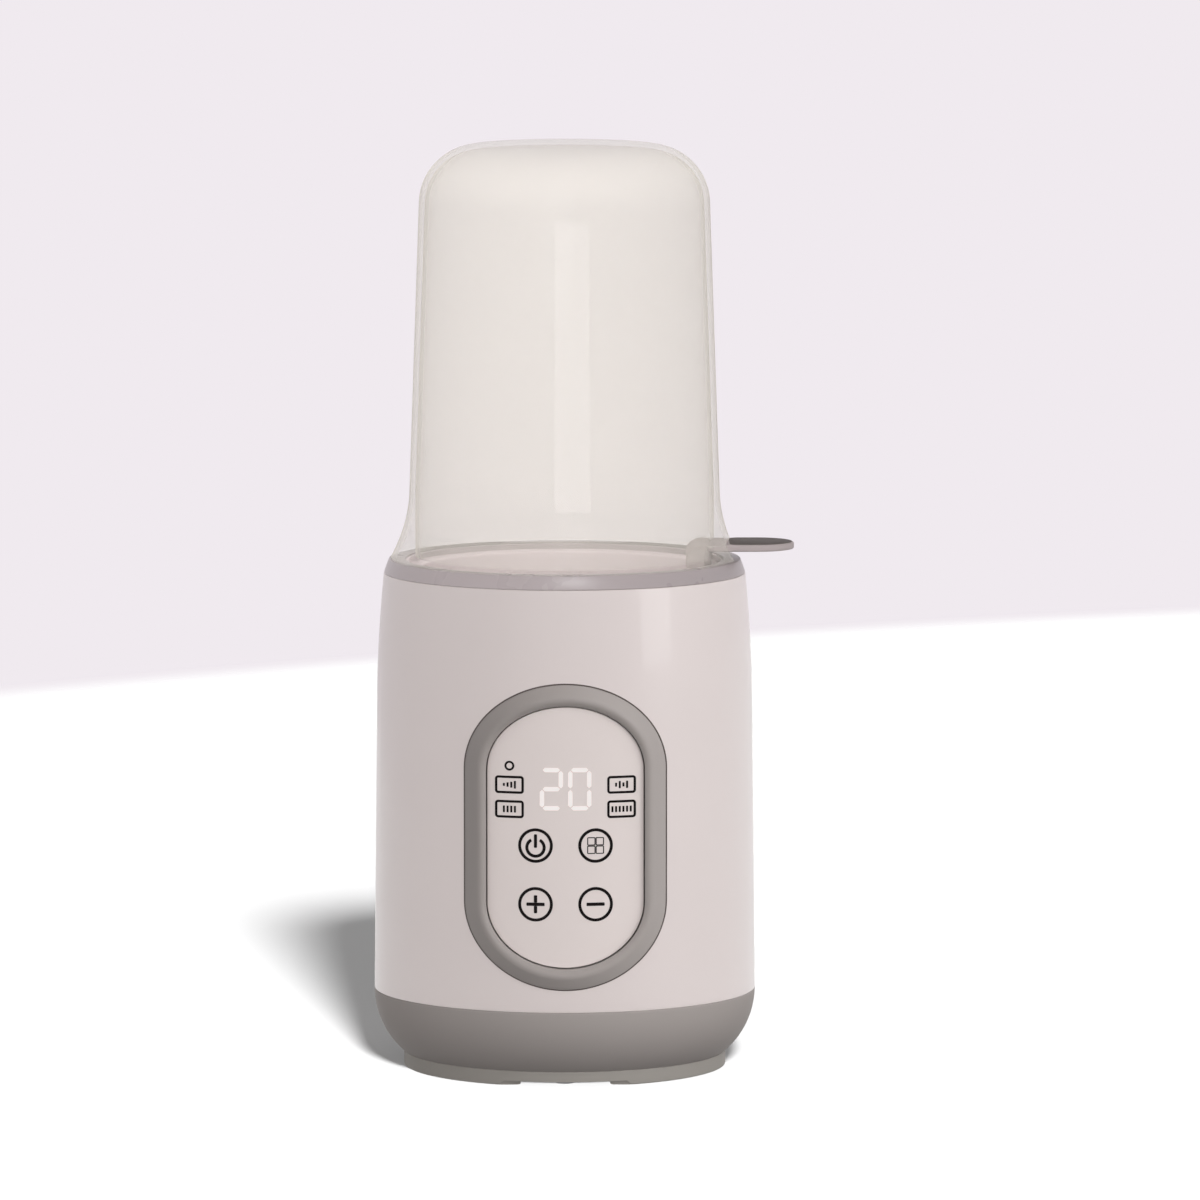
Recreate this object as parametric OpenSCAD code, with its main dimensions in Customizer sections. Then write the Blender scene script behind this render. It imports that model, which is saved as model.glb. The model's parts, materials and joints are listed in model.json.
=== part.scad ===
// Bottle warmer and sterilizer: a heated water well with a lift-out basket under a tall clear cover.
// Millimetres, +Z up, panel towards -Y, handle towards +X.
// The origin is on the body's axis, on the surface that it stands on.

/* [Body] */
// Outer diameter of the body at the seam with the base
body_d = 116; // [105:1:127]
// Height of the seam between base and body
seam_z = 24; // [23:0.5:26]
// Height of the body's upper edge
body_top_z = 151; // [148:1:160]
// Radius that the straight wall loses from the seam to the top
body_draw = 1.3; // [0.6:0.1:1.6]
// Radius that the curved shoulder takes off as well
shoulder_draw = 1.8; // [1:0.1:2]
// Height of the curved shoulder
shoulder_h = 39; // [30:1:44]
// Wall thickness of the casings
wall = 2.4; // [2:0.1:2.6]

/* [Base] */
// Radius of the bowl's curve
bowl_r = 25; // [24:0.5:27]
// Height of the foot ring's upper edge
foot_h = 4.8; // [4.6:0.1:5.4]
// Thickness of the foot ring's wall
foot_t = 2.6; // [2:0.1:3.2]
// Gap between the foot ring and the surface that the object stands on
foot_gap = 0.3; // [0.2:0.1:0.5]
// Length of each notch in the foot ring
notch_w = 37; // [20:1:42]
// Height of each notch
notch_h = 1.4; // [1:0.1:1.8]
// Thickness of the bottom plate
bottom_t = 2; // [1.8:0.1:2.2]
// Gap between the rubber ring that the object stands on and the screws outside it
grip_gap = 0.7; // [0.5:0.1:4]
// Width of the rubber ring
grip_w = 6; // [4:0.5:7]
// Height of the cord outlet
gland_z = 14; // [13:0.5:15]
// Diameter of the cord that the outlet takes
cord_d = 6.6; // [5:0.2:7.6]

/* [Rim] */
// Height of the rim ring above the body
rim_h = 4.2; // [3.8:0.1:5]
// How far the rim ring leans inwards
rim_lean = 1.5; // [0.8:0.1:1.8]

/* [Well] */
// Room between the well's inside and the outside of the body's upper edge
jacket = 11.9; // [11.4:0.1:14]
// Wall thickness of the well
well_wall = 2; // [1.6:0.1:2.2]
// Height of the well's floor
floor_z = 64; // [62:1:70]
// Width of the plastic ledge round the heated part of the floor
floor_ledge = 10.5; // [10:0.5:13]

/* [Cover] */
// Height of the cover above the rim
cover_h = 125.8; // [110:0.2:140]
// Outer diameter of the cover where its top starts to round
cover_top_d = 88.2; // [84:0.2:92]
// Radius of the cover's rounded top edge
cover_corner_r = 18; // [14:1:22]
// Wall thickness of the cover
cover_wall = 1.8; // [1.4:0.1:2]
// Height of the flared skirt
flare_h = 20.3; // [16:0.1:25]

/* [Lift basket] */
// Reach of the tab beyond the body
tab_over = 11.7; // [8:0.1:16]
// Width of the tab
tab_w = 22.8; // [18:0.2:26]
// Thickness of the tab
tab_t = 2.1; // [1.8:0.1:2.6]
// Gap between the rim ring and the tab
tab_gap = 2.9; // [2.4:0.1:4]
// Width of the strap
strap_w = 29; // [27:1:34]
// Thickness of the strap
strap_t = 2; // [1.6:0.1:2.4]
// Height of the tray's upstand
tray_rim_h = 8; // [4:1:14]
// Height of the tray's feet
tray_foot_h = 3; // [2:0.5:5]
// Diameter of the tray's drain holes
drain_d = 6; // [4:0.5:7]

/* [Control panel] */
// Height of the panel's middle
panel_z = 77; // [75:0.5:79]
// Width of the bezel, as seen from the front
bezel_w = 60.2; // [57:0.2:62]
// Height of the bezel
bezel_h = 91.8; // [90:0.2:94]
// Height of each rounded end of the bezel
bezel_end = 26; // [22:0.5:30]
// Width of the bezel's band
bezel_band = 6.3; // [5.6:0.1:6.6]
// How far the bezel's crest stands above the body
bezel_proud = 3; // [2.2:0.1:3.6]
// Thickness of the panel
panel_t = 2; // [1.6:0.1:2.2]

/* [Boards] */
// Thickness of the circuit boards
board_t = 1.6; // [1.2:0.1:2]
// Width of the control board
control_w = 40; // [38:0.5:41]
// Height of the control board
control_h = 70; // [66:1:72]
// Width of the power board
power_w = 50; // [48:1:52]
// Depth of the power board
power_d = 46; // [44:1:50]
// Height of the posts under the power board
power_post_h = 7; // [6:0.5:9]

/* [Hidden] */
$fn = 96;
// Gap between pieces that are fixed together
fit = 0.15;
// Gap between curved faces that lie on each other
seat = 0.05;
// Gap between pieces that slide or lift apart
slack = 0.3;
// Steps in each curved stretch of an outline
steps = 12;
// Overlap that joins two shapes of one piece
bite = 0.6;

// Body and rim
body_r = body_d / 2;
shoulder_z = body_top_z - shoulder_h;
body_top_r = body_r - body_draw - shoulder_draw;
rim_top_z = body_top_z + rim_h;
rim_top_r = body_top_r - rim_lean;
lip_h = 4;
lip_t = 1.6;

// Base
bowl_mid_r = body_r - bowl_r;
bowl_end = asin((seam_z - foot_h) / bowl_r);
foot_r = bowl_mid_r + bowl_r * cos(bowl_end);
flange_top_z = foot_h + wall;
bottom_z = foot_h - bottom_t;
screw_r = 1.5;
screw_head_r = 2.8;
screw_head_h = 1.8;
screw_depth = 10;
board_screw_depth = 5;
panel_screw_depth = 3;
post_r = 4;
post_inset = 0.5;
post_angles = [30, 150, 270];
notch_slant = 1.7;
grip_inset = 0.8;

// Well, from the inside out
well_r = body_top_r - jacket;
well_out_r = well_r + well_wall;
seat_w = 2.3;
collar_r = well_r + seat_w;
collar_t = cover_wall - 0.1;
collar_out_r = collar_r + collar_t;
step_r = collar_out_r + slack;
tank_lip_w = 0.9;
tank_r = step_r + tank_lip_w;
rebate_r = tank_r + fit;
ledge_lift = 0.2;
ledge_z = body_top_z + ledge_lift;
ledge_t = 2;
step_h = 1.8;
step_z = ledge_z + step_h;
deck_drop = 0.4;
deck_z = rim_top_z - deck_drop;
post_at = well_out_r - post_r - post_inset;
grip_out_r = post_at - screw_head_r - grip_gap;
grip_in_r = grip_out_r - grip_w;
floor_under_z = floor_z - well_wall;

// Heater, hung under the well's floor
plate_r = well_r - floor_ledge;
sheet_t = 1;
brim_w = 3.4;
seal_t = 1.5;
brim_r = plate_r + brim_w;
brim_z = floor_under_z - seal_t;
clamp_z = brim_z - sheet_t;
clamp_t = 2;
clamp_angles = [90, 210, 330];
clamp_screw_at = brim_r + screw_head_r + 0.4;
plate_under_z = floor_z - sheet_t;
element_inset = 8.5;
element_mid_r = plate_r - element_inset;
element_w = 6;
element_h = 5;
element_gap = 60;
pin_r = 1.2;
pin_h = 5;
cutout_r = 7.5;
cutout_h = 8;
blade_size = [6, 0.8, 4];
blade_y = 4;
cutout_x = 7.5;
sensor_r = 3;
sensor_h = 6;
sensor_x = -9;

// Cover
cover_top_z = rim_top_z + cover_h;
neck_r = collar_r + cover_wall;
neck_z = rim_top_z + flare_h;
corner_z = cover_top_z - cover_corner_r;
corner_r = cover_top_d / 2;
skirt_inset = 0.4;
skirt_r = rim_top_r - skirt_inset;
collar_z = step_z + slack;

// Basket
tab_z = rim_top_z + tab_gap;
tab_top_z = tab_z + tab_t;
tab_tip_r = body_r + tab_over;
strap_gap = 1.2;
strap_out_r = well_r - strap_gap;
strap_in_r = strap_out_r - strap_t;
saddle_gap = 0.7;
saddle_out_r = collar_r - saddle_gap;
saddle_lift = 0.6;
saddle_z = rim_top_z + saddle_lift;
saddle_round = 3.6;
shoulder_round = 5;
tray_inset = 0.6;
tray_r = strap_out_r - tray_inset;
tray_z = floor_z + tray_foot_h;
tray_t = 2;
tray_foot_r = 2.4;
drain_inset = [25.5, 11.5];
drain_at = [for (d = drain_inset) tray_r - d];
tray_feet = [45, 165, 285];
notch_clear = 1.2;

// Panel, bezel and control board
stem_inset = 2.2;
crest_inset = 1.6;
shelf_w = 1.4;
shelf_t = 1.5;
panel_out = 0.3;
panel_back = panel_out - panel_t;
shelf_back = panel_back - shelf_t;
panel_low = panel_z - bezel_h / 2 - 1;
panel_high = panel_z + bezel_h / 2 + 1;
control_gap = 2;
control_back_y = -(well_out_r + control_gap);
control_front_y = control_back_y - board_t;
control_hole_inset = [3, 8];
control_hole_x = control_w / 2 - control_hole_inset.x;
control_hole_dz = control_h / 2 - control_hole_inset.y;
boss_r = 2.8;
key_x = 9;
key_dz = [-2.6, -20];
pad_r = 3.5;
digits_w = 20;
digits_h = 15;
digits_dz = 14.4;
digits_back_r = body_r_at(panel_z + digits_dz) + panel_back;
digits_t = sqrt(pow(digits_back_r, 2) - pow(digits_w / 2, 2)) + control_front_y - slack;
led_x = 16.7;
led_dz = [9.4, 15.4];
status_dz = 21.3;
led_size = [3, 1.6, 1.5];

// Power board and what stands on it
power_z = foot_h + power_post_h;
power_top_z = power_z + board_t;
power_hole_inset = 4;
power_hole_x = power_w / 2 - power_hole_inset;
power_hole_y = power_d / 2 - power_hole_inset;
hatch_gap = 1;
hatch_r = norm([power_hole_x, power_hole_y]) + screw_head_r + hatch_gap;
relay_at = [-13, -7];
relay_size = [15, 16, 15];
transformer_at = [11, -7];
transformer_size = [22, 16, 17];
capacitor_at = [-17, 9];
capacitor_r = 5;
capacitor_h = 16;
buzzer_at = [16, 9];
buzzer_r = 6;
buzzer_h = 5;
terminal_y = 17;
terminal_size = [14, 9, 10];

// Wiring
wire_r = 1;
joint_r = 1.08;
lead_x = 4;
block_bend_h = [14, 6];
board_bend_h = [26, 14];
sensor_end = [-2, 6];
cutout_end = [4, 6];
ribbon_w = 10;
ribbon_t = 0.9;
ribbon_x = 11;
plug_t = 2.4;
plug_h = 4;

// Cord outlet
gland_r = cord_d / 2 + 2;
gland_flange_r = gland_r + 2;
gland_flange_t = 1.6;
gland_pad_r = gland_flange_r + 1;
gland_pad_y = body_r;
gland_in = 8;
gland_in_y = gland_pad_y - gland_in;

// Colours
pearl = [0.86, 0.81, 0.79];
mid_grey = [0.55, 0.52, 0.51];
light_grey = [0.62, 0.60, 0.59];
rim_grey = [0.66, 0.62, 0.62];
steel = [0.75, 0.75, 0.76];
green = [0.10, 0.35, 0.20];
black = [0.12, 0.12, 0.12];

// Points on an arc about (r, z), from one angle to another
function arc(r, z, radius, from, to) = [
    for (i = [0:steps]) let (a = from + (to - from) * i / steps) [r + radius * cos(a), z + radius * sin(a)]
];

// The same points in the other order
function back(points) = [for (i = [len(points) - 1:-1:0]) points[i]];

// Outer radius of the body at a height
function body_r_at(z) = body_r - body_draw * (z - seam_z) / (body_top_z - seam_z)
    - shoulder_draw * pow(max(0, z - shoulder_z) / shoulder_h, 2);

// The body's outline between two heights, moved out by a distance
function body_line(low, high, out) = [
    [body_r_at(low) + out, low],
    for (i = [0:steps]) let (z = shoulder_z + shoulder_h * i / steps)
        if (z > low + 0.1 && z < high - 0.1) [body_r_at(z) + out, z],
    [body_r_at(high) + out, high]
];

// Ring that follows the body's outline, between two distances from it
module body_band(low, high, out, in) {
    rotate_extrude() polygon(concat(body_line(low, high, out), back(body_line(low, high, in))));
}

// Solid that follows the body's outline at a distance
module body_core(low, high, out) {
    rotate_extrude() polygon(concat([[0, low]], body_line(low, high, out), [[0, high]]));
}

// Bar towards the front, in the bezel's outline drawn in by a distance
module pill_bar(inset) {
    half_w = bezel_w / 2 - inset;
    end = bezel_end - inset;
    straight = bezel_h / 2 - bezel_end;
    count = 2 * steps;
    top = [for (i = [0:count]) let (a = 180 * i / count) [half_w * cos(a), straight + end * sin(a)]];
    low = [for (i = [0:count]) let (a = 180 + 180 * i / count) [half_w * cos(a), -straight + end * sin(a)]];
    translate([0, 0, panel_z]) rotate([90, 0, 0]) linear_extrude(body_d) polygon(concat(top, low));
}

// Round bar along Y, from the front end to the rear end
module bar_y(x, z, front, rear, r) {
    translate([x, rear, z]) rotate([90, 0, 0]) cylinder(h = rear - front, r = r);
}

// Round bars along Y at the control board's four screws
module control_holes(front, rear, r) {
    for (x = [-1, 1], z = [-1, 1])
        bar_y(x * control_hole_x, panel_z + z * control_hole_dz, front, rear, r);
}

// Copies about the axis, at a radius
module around(angles, at) {
    for (a = angles) rotate([0, 0, a]) translate([at, 0, 0]) children();
}

// Copies at the four corners of a rectangle
module corners(x, y) {
    for (sx = [-1, 1], sy = [-1, 1]) translate([sx * x, sy * y, 0]) children();
}

// Box that stands on the power board
module on_power_board(at, size) {
    translate([at.x - size.x / 2, at.y - size.y / 2, power_top_z]) cube(size);
}

// Screw along Z with its head below, at the origin
module screw(length) {
    cylinder(h = length, r = screw_r);
    translate([0, 0, -screw_head_h]) difference() {
        cylinder(h = screw_head_h, r = screw_head_r);
        translate([0, 0, -1]) cylinder(h = 1.8, r = 1.2, $fn = 6);
    }
}

// Wire through a list of points
module wire(points) {
    for (i = [0:len(points) - 2]) {
        span = points[i + 1] - points[i];
        length = norm(span);
        translate(points[i]) rotate([0, acos(span.z / length), atan2(span.y, span.x)])
            cylinder(h = length, r = wire_r);
    }
    for (i = [1:len(points) - 2]) translate(points[i]) sphere(r = joint_r);
}

// Radius of the cover's skirt at a height, above the straight line of its neck
function flare_r(z) = (skirt_r - neck_r) * pow((neck_z - z) / flare_h, 2);

// Outline of the cover's skirt, moved in by a distance
function skirt_line(in) = [for (i = [0:steps]) let (z = rim_top_z + flare_h * i / steps)
    [neck_r + flare_r(z) - in, z]];

// Tall clear cover: rounded top, flared skirt, inner collar and a notch for the handle
module dome_cover() {
    inner_corner = cover_corner_r - cover_wall;
    outer = concat(skirt_line(0), arc(corner_r - cover_corner_r, corner_z, cover_corner_r, 0, 90));
    inner = concat([[collar_r, collar_z], [collar_r, neck_z]],
        arc(corner_r - cover_corner_r, corner_z, inner_corner, 0, 90));
    groove = [for (p = skirt_line(cover_wall)) if (p.x > collar_out_r + 0.2) p];
    color([0.92, 0.90, 0.89, 0.5]) difference() {
        rotate_extrude() polygon(concat(
            [[collar_out_r, collar_z], [collar_out_r, groove[len(groove) - 1].y]], back(groove),
            outer, [[0, cover_top_z], [0, cover_top_z - cover_wall]], back(inner)));
        translate([0, -tab_w / 2 - notch_clear, collar_z - 1])
            cube([body_r, tab_w + 2 * notch_clear, tab_top_z + notch_clear - collar_z + 1]);
    }
}

// Lift-out basket: drained tray on three feet, a strap up the well's wall, a saddle over the rim and a tab
module lift_basket() {
    tip_r = tab_w / 2;
    tip_x = tab_tip_r - tip_r;
    tab_root_x = sqrt(pow(saddle_out_r, 2) - pow(tip_r, 2)) - bite;
    sector = asin(strap_w / 2 / strap_in_r) + 4;
    rise = tab_top_z - tray_z + 1;
    shoulder_x = strap_w / 2 - shoulder_round;
    color(mid_grey) union() {
        difference() {
            rotate_extrude() polygon([
                [0, tray_z], [tray_r, tray_z], [tray_r, tray_z + tray_t + tray_rim_h],
                [tray_r - strap_t, tray_z + tray_t + tray_rim_h], [tray_r - strap_t, tray_z + tray_t],
                [0, tray_z + tray_t]
            ]);
            translate([0, 0, tray_z - 1]) cylinder(h = tray_t + 2, r = drain_d / 2);
            around([0:60:300], drain_at[0]) translate([0, 0, tray_z - 1])
                cylinder(h = tray_t + 2, r = drain_d / 2);
            around([15:30:345], drain_at[1]) translate([0, 0, tray_z - 1])
                cylinder(h = tray_t + 2, r = drain_d / 2);
        }
        around(tray_feet, tray_r - strap_t - tray_foot_r)
            translate([0, 0, floor_z]) cylinder(h = tray_foot_h + bite, r = tray_foot_r);
        intersection() {
            rotate([0, 0, -sector]) rotate_extrude(angle = 2 * sector) polygon(concat(
                [[strap_in_r, tray_z + bite]],
                back(arc(strap_in_r + saddle_round, tab_top_z - saddle_round, saddle_round, 90, 180)),
                [[saddle_out_r, tab_top_z], [saddle_out_r, saddle_z], [strap_out_r, saddle_z],
                    [strap_out_r, tray_z + bite]]
            ));
            translate([0, 0, tray_z]) rotate([90, 0, 90]) linear_extrude(body_r) polygon(concat(
                [[-strap_w / 2, 0], [strap_w / 2, 0]],
                arc(shoulder_x, rise - shoulder_round, shoulder_round, 0, 90),
                arc(-shoulder_x, rise - shoulder_round, shoulder_round, 90, 180)
            ));
        }
        translate([0, 0, tab_z]) linear_extrude(tab_t) polygon(concat(
            [[tab_root_x, tip_r], [tab_root_x, -tip_r]],
            arc(tip_x, 0, tip_r, -90, 90)
        ));
    }
}

// Ring on top of the body, with a rebate that carries the tank and a skirt inside the body
module rim_ring() {
    skirt_out_r = body_top_r - wall - fit;
    color(rim_grey) rotate_extrude() polygon([
        [body_top_r, body_top_z], [rim_top_r, rim_top_z], [rebate_r, rim_top_z], [rebate_r, ledge_z],
        [well_out_r + slack, ledge_z], [well_out_r + slack, ledge_z - ledge_t],
        [skirt_out_r - lip_t, ledge_z - ledge_t], [skirt_out_r - lip_t, body_top_z - lip_h],
        [skirt_out_r, body_top_z - lip_h], [skirt_out_r, body_top_z]
    ]);
}

// Barrel of the body, with the window for the panel
module body_shell() {
    color(pearl) difference() {
        body_band(seam_z, body_top_z, 0, -wall);
        pill_bar(stem_inset - fit);
    }
}

// Well with its deck, an open floor for the heating plate and three long posts down to the base
module water_tank() {
    chamfer = 0.8;
    color(pearl) difference() {
        union() {
            rotate_extrude() polygon([
                [tank_r, ledge_z], [tank_r, deck_z], [step_r, deck_z], [step_r, step_z],
                [well_r + chamfer, step_z], [well_r, step_z - chamfer], [well_r, floor_z],
                [plate_r + fit, floor_z], [plate_r + fit, floor_under_z], [well_out_r, floor_under_z],
                [well_out_r, ledge_z]
            ]);
            around(post_angles, post_at) translate([0, 0, flange_top_z])
                cylinder(h = floor_under_z - flange_top_z + bite, r = post_r);
            around(clamp_angles, clamp_screw_at) translate([0, 0, clamp_z])
                cylinder(h = floor_under_z - clamp_z + bite, r = screw_head_r);
        }
        around(post_angles, post_at) translate([0, 0, flange_top_z - 1])
            cylinder(h = screw_depth + 2, r = screw_r + fit / 2);
        around(clamp_angles, clamp_screw_at) translate([0, 0, clamp_z - 1])
            cylinder(h = floor_under_z - clamp_z + 1.6, r = screw_r + fit / 2);
    }
}

// Silicone ring between the well's floor and the heating plate's brim
module heater_seal() {
    color([0.75, 0.25, 0.20]) translate([0, 0, brim_z]) difference() {
        cylinder(h = seal_t, r = brim_r);
        translate([0, 0, -1]) cylinder(h = seal_t + 2, r = plate_r + fit);
    }
}

// Steel plate that is the heated part of the well's floor, in the shape of a hat
module heating_plate() {
    color(steel) rotate_extrude() polygon([
        [0, floor_z], [plate_r, floor_z], [plate_r, brim_z], [brim_r, brim_z], [brim_r, clamp_z],
        [plate_r - sheet_t, clamp_z], [plate_r - sheet_t, plate_under_z], [0, plate_under_z]
    ]);
}

// Open ring heater under the plate, with a pin at each end
module heating_element() {
    color(steel) union() {
        rotate([0, 0, 90 + element_gap / 2]) rotate_extrude(angle = 360 - element_gap)
            translate([element_mid_r - element_w / 2, plate_under_z - element_h])
                square([element_w, element_h]);
        for (a = [-1, 1]) rotate([0, 0, 90 + a * (element_gap / 2 + 5)])
            translate([element_mid_r, 0, plate_under_z - element_h - pin_h])
                cylinder(h = pin_h + bite, r = pin_r);
    }
}

// Ring with three ears that presses the plate's brim against the seal
module heater_clamp() {
    ear_r = screw_head_r + 0.6;
    color(steel) translate([0, 0, clamp_z - clamp_t]) difference() {
        union() {
            cylinder(h = clamp_t, r = brim_r);
            around(clamp_angles, clamp_screw_at) cylinder(h = clamp_t, r = ear_r);
            around(clamp_angles, plate_r) translate([0, -ear_r, 0])
                cube([clamp_screw_at - plate_r, 2 * ear_r, clamp_t]);
        }
        translate([0, 0, -1]) cylinder(h = clamp_t + 2, r = plate_r - sheet_t);
        around(clamp_angles, clamp_screw_at) translate([0, 0, -1])
            cylinder(h = clamp_t + 2, r = screw_r + fit);
    }
}

// Three screws of the heater clamp
module heater_screws() {
    color(steel) around(clamp_angles, clamp_screw_at) translate([0, 0, clamp_z - clamp_t])
        screw(clamp_t + floor_under_z - clamp_z);
}

// Temperature sensor under the plate
module thermistor() {
    color(steel) translate([sensor_x, 0, plate_under_z - sensor_h]) cylinder(h = sensor_h, r = sensor_r);
}

// Safety cut-out under the plate
module thermal_cutout() {
    color(black) translate([cutout_x, 0, plate_under_z - cutout_h]) union() {
        cylinder(h = cutout_h, r = cutout_r);
        for (s = [-1, 1]) translate([-blade_size.x / 2, s * blade_y - blade_size.y / 2, -blade_size.z])
            cube(blade_size + [0, 0, bite]);
    }
}

// Curved touch panel with four bosses behind it for the control board
module control_panel() {
    color(pearl) difference() {
        union() {
            intersection() {
                body_band(panel_low, panel_high, panel_out, panel_back);
                pill_bar(bezel_band + fit);
            }
            intersection() {
                body_core(panel_low, panel_high, panel_back + bite);
                control_holes(-body_r, control_front_y, boss_r);
            }
        }
        control_holes(control_front_y - panel_screw_depth - fit, control_front_y + 1, screw_r + fit / 2);
    }
}

// Raised frame round the panel: crest, flange on the body, stem through the window and shelf for the panel
module panel_bezel() {
    color(mid_grey) union() {
        intersection() {
            body_band(panel_low, panel_high, bezel_proud, seat);
            difference() {
                pill_bar(crest_inset);
                pill_bar(bezel_band - crest_inset / 2);
            }
        }
        intersection() {
            body_band(panel_low, panel_high, bezel_proud / 2, seat);
            difference() {
                pill_bar(0);
                pill_bar(bezel_band);
            }
        }
        intersection() {
            body_band(panel_low, panel_high, bite, shelf_back);
            difference() {
                pill_bar(stem_inset);
                pill_bar(bezel_band);
            }
        }
        intersection() {
            body_band(panel_low, panel_high, panel_back - seat, shelf_back);
            difference() {
                pill_bar(stem_inset);
                pill_bar(bezel_band + shelf_w);
            }
        }
    }
}

// Circuit board behind the panel
module control_board() {
    color(green) difference() {
        translate([-control_w / 2, control_front_y, panel_z - control_h / 2])
            cube([control_w, board_t, control_h]);
        control_holes(control_front_y - 1, control_back_y + 1, screw_r + fit);
    }
}

// Two-digit display on the control board
module digit_display() {
    color([0.9, 0.9, 0.9])
        translate([-digits_w / 2, control_front_y - digits_t, panel_z + digits_dz - digits_h / 2])
        cube([digits_w, digits_t, digits_h]);
}

// Small lamps behind the printed marks
module indicator_leds() {
    spots = concat([[-led_x, status_dz]], [for (x = [-1, 1], z = led_dz) [x * led_x, z]]);
    color([1, 0.9, 0.5]) for (p = spots)
        translate([p.x - led_size.x / 2, control_front_y - led_size.y, panel_z + p.y - led_size.z / 2])
            cube(led_size);
}

// Conductive foam pads between the control board and the back of the panel, one for each key
module touch_pads() {
    color(black) intersection() {
        body_core(panel_low, panel_high, panel_back);
        for (x = [-1, 1], z = key_dz) bar_y(x * key_x, panel_z + z, -body_r, control_front_y, pad_r);
    }
}

// Four screws of the control board, with their heads towards the well
module control_board_screws() {
    color(steel) for (x = [-1, 1], z = [-1, 1])
        translate([x * control_hole_x, control_back_y, panel_z + z * control_hole_dz]) rotate([90, 0, 0])
            screw(board_t + panel_screw_depth);
}

// Circuit board in the base
module power_board() {
    color(green) translate([0, 0, power_z]) difference() {
        translate([-power_w / 2, -power_d / 2, 0]) cube([power_w, power_d, board_t]);
        corners(power_hole_x, power_hole_y) translate([0, 0, -1])
            cylinder(h = board_t + 2, r = screw_r + fit);
    }
}

// Small supply transformer
module power_transformer() {
    color([0.85, 0.75, 0.30]) on_power_board(transformer_at, transformer_size);
}

// Relay that switches the heater
module relay() {
    color([0.15, 0.30, 0.65]) on_power_board(relay_at, relay_size);
}

// Smoothing capacitor
module capacitor() {
    color(black) translate([capacitor_at.x, capacitor_at.y, power_top_z])
        cylinder(h = capacitor_h, r = capacitor_r);
}

// Terminal block for the mains and heater wires
module terminal_block() {
    color([0.2, 0.5, 0.3]) on_power_board([0, terminal_y], terminal_size);
}

// Buzzer for the end of the cycle
module buzzer() {
    color(black) translate([buzzer_at.x, buzzer_at.y, power_top_z]) difference() {
        cylinder(h = buzzer_h, r = buzzer_r);
        translate([0, 0, buzzer_h - 1]) cylinder(h = 2, r = 1.2);
    }
}

// Four screws of the power board
module power_board_screws() {
    color(steel) corners(power_hole_x, power_hole_y) translate([0, 0, power_top_z]) rotate([180, 0, 0])
        screw(board_t + board_screw_depth);
}

// Flat cable with a plug at each end, from the power board to the control board
module ribbon_cable() {
    low_y = -power_d / 2 + plug_h;
    rise_y = control_back_y + plug_t / 2;
    low_z = power_top_z + plug_t / 2;
    top_z = panel_z - control_h / 2 + plug_h;
    half_t = ribbon_t / 2;
    color([0.8, 0.8, 0.8]) translate([ribbon_x - ribbon_w / 2, 0, 0]) union() {
        translate([0, low_y - plug_h, power_top_z]) cube([ribbon_w, plug_h, plug_t]);
        translate([0, control_back_y, top_z - plug_h]) cube([ribbon_w, plug_t, plug_h]);
        translate([0, rise_y - half_t, low_z - half_t]) {
            cube([ribbon_w, low_y - plug_h - rise_y + half_t + bite, ribbon_t]);
            cube([ribbon_w, ribbon_t, top_z - plug_h - low_z + half_t + bite]);
        }
    }
}

// Two wires from the terminal block to the heater's pins
module heater_leads() {
    pin_z = plate_under_z - element_h - pin_h;
    block_z = power_top_z + terminal_size.z;
    color([0.75, 0.15, 0.12]) for (s = [-1, 1]) {
        angle = 90 - s * (element_gap / 2 + 5);
        pin = [element_mid_r * cos(angle), element_mid_r * sin(angle)];
        end = [s * lead_x, terminal_y];
        wire([[pin.x, pin.y, pin_z], [pin.x, pin.y, block_z + block_bend_h[0]],
            [end.x, end.y, block_z + block_bend_h[1]], [end.x, end.y, block_z]]);
    }
}

// Wires from the sensor and the cut-out down to the power board
module sensor_leads() {
    sensor = [sensor_x, 0, plate_under_z - sensor_h];
    blade = [cutout_x, blade_y, plate_under_z - cutout_h - blade_size.z];
    color([0.95, 0.95, 0.95]) for (route = [[sensor, sensor_end], [blade, cutout_end]]) {
        start = route[0];
        end = route[1];
        wire([start, [start.x, start.y, power_top_z + board_bend_h[0]],
            [end.x, end.y, power_top_z + board_bend_h[1]], [end.x, end.y, power_top_z]]);
    }
}

// Bush in the rear of the base that the mains cord passes through
module cord_gland() {
    color(black) difference() {
        union() {
            bar_y(0, gland_z, gland_in_y, gland_pad_y + bite, gland_r);
            bar_y(0, gland_z, gland_pad_y, gland_pad_y + gland_flange_t, gland_flange_r);
        }
        bar_y(0, gland_z, gland_in_y - 1, gland_pad_y + gland_flange_t + 1, cord_d / 2);
    }
}

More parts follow.
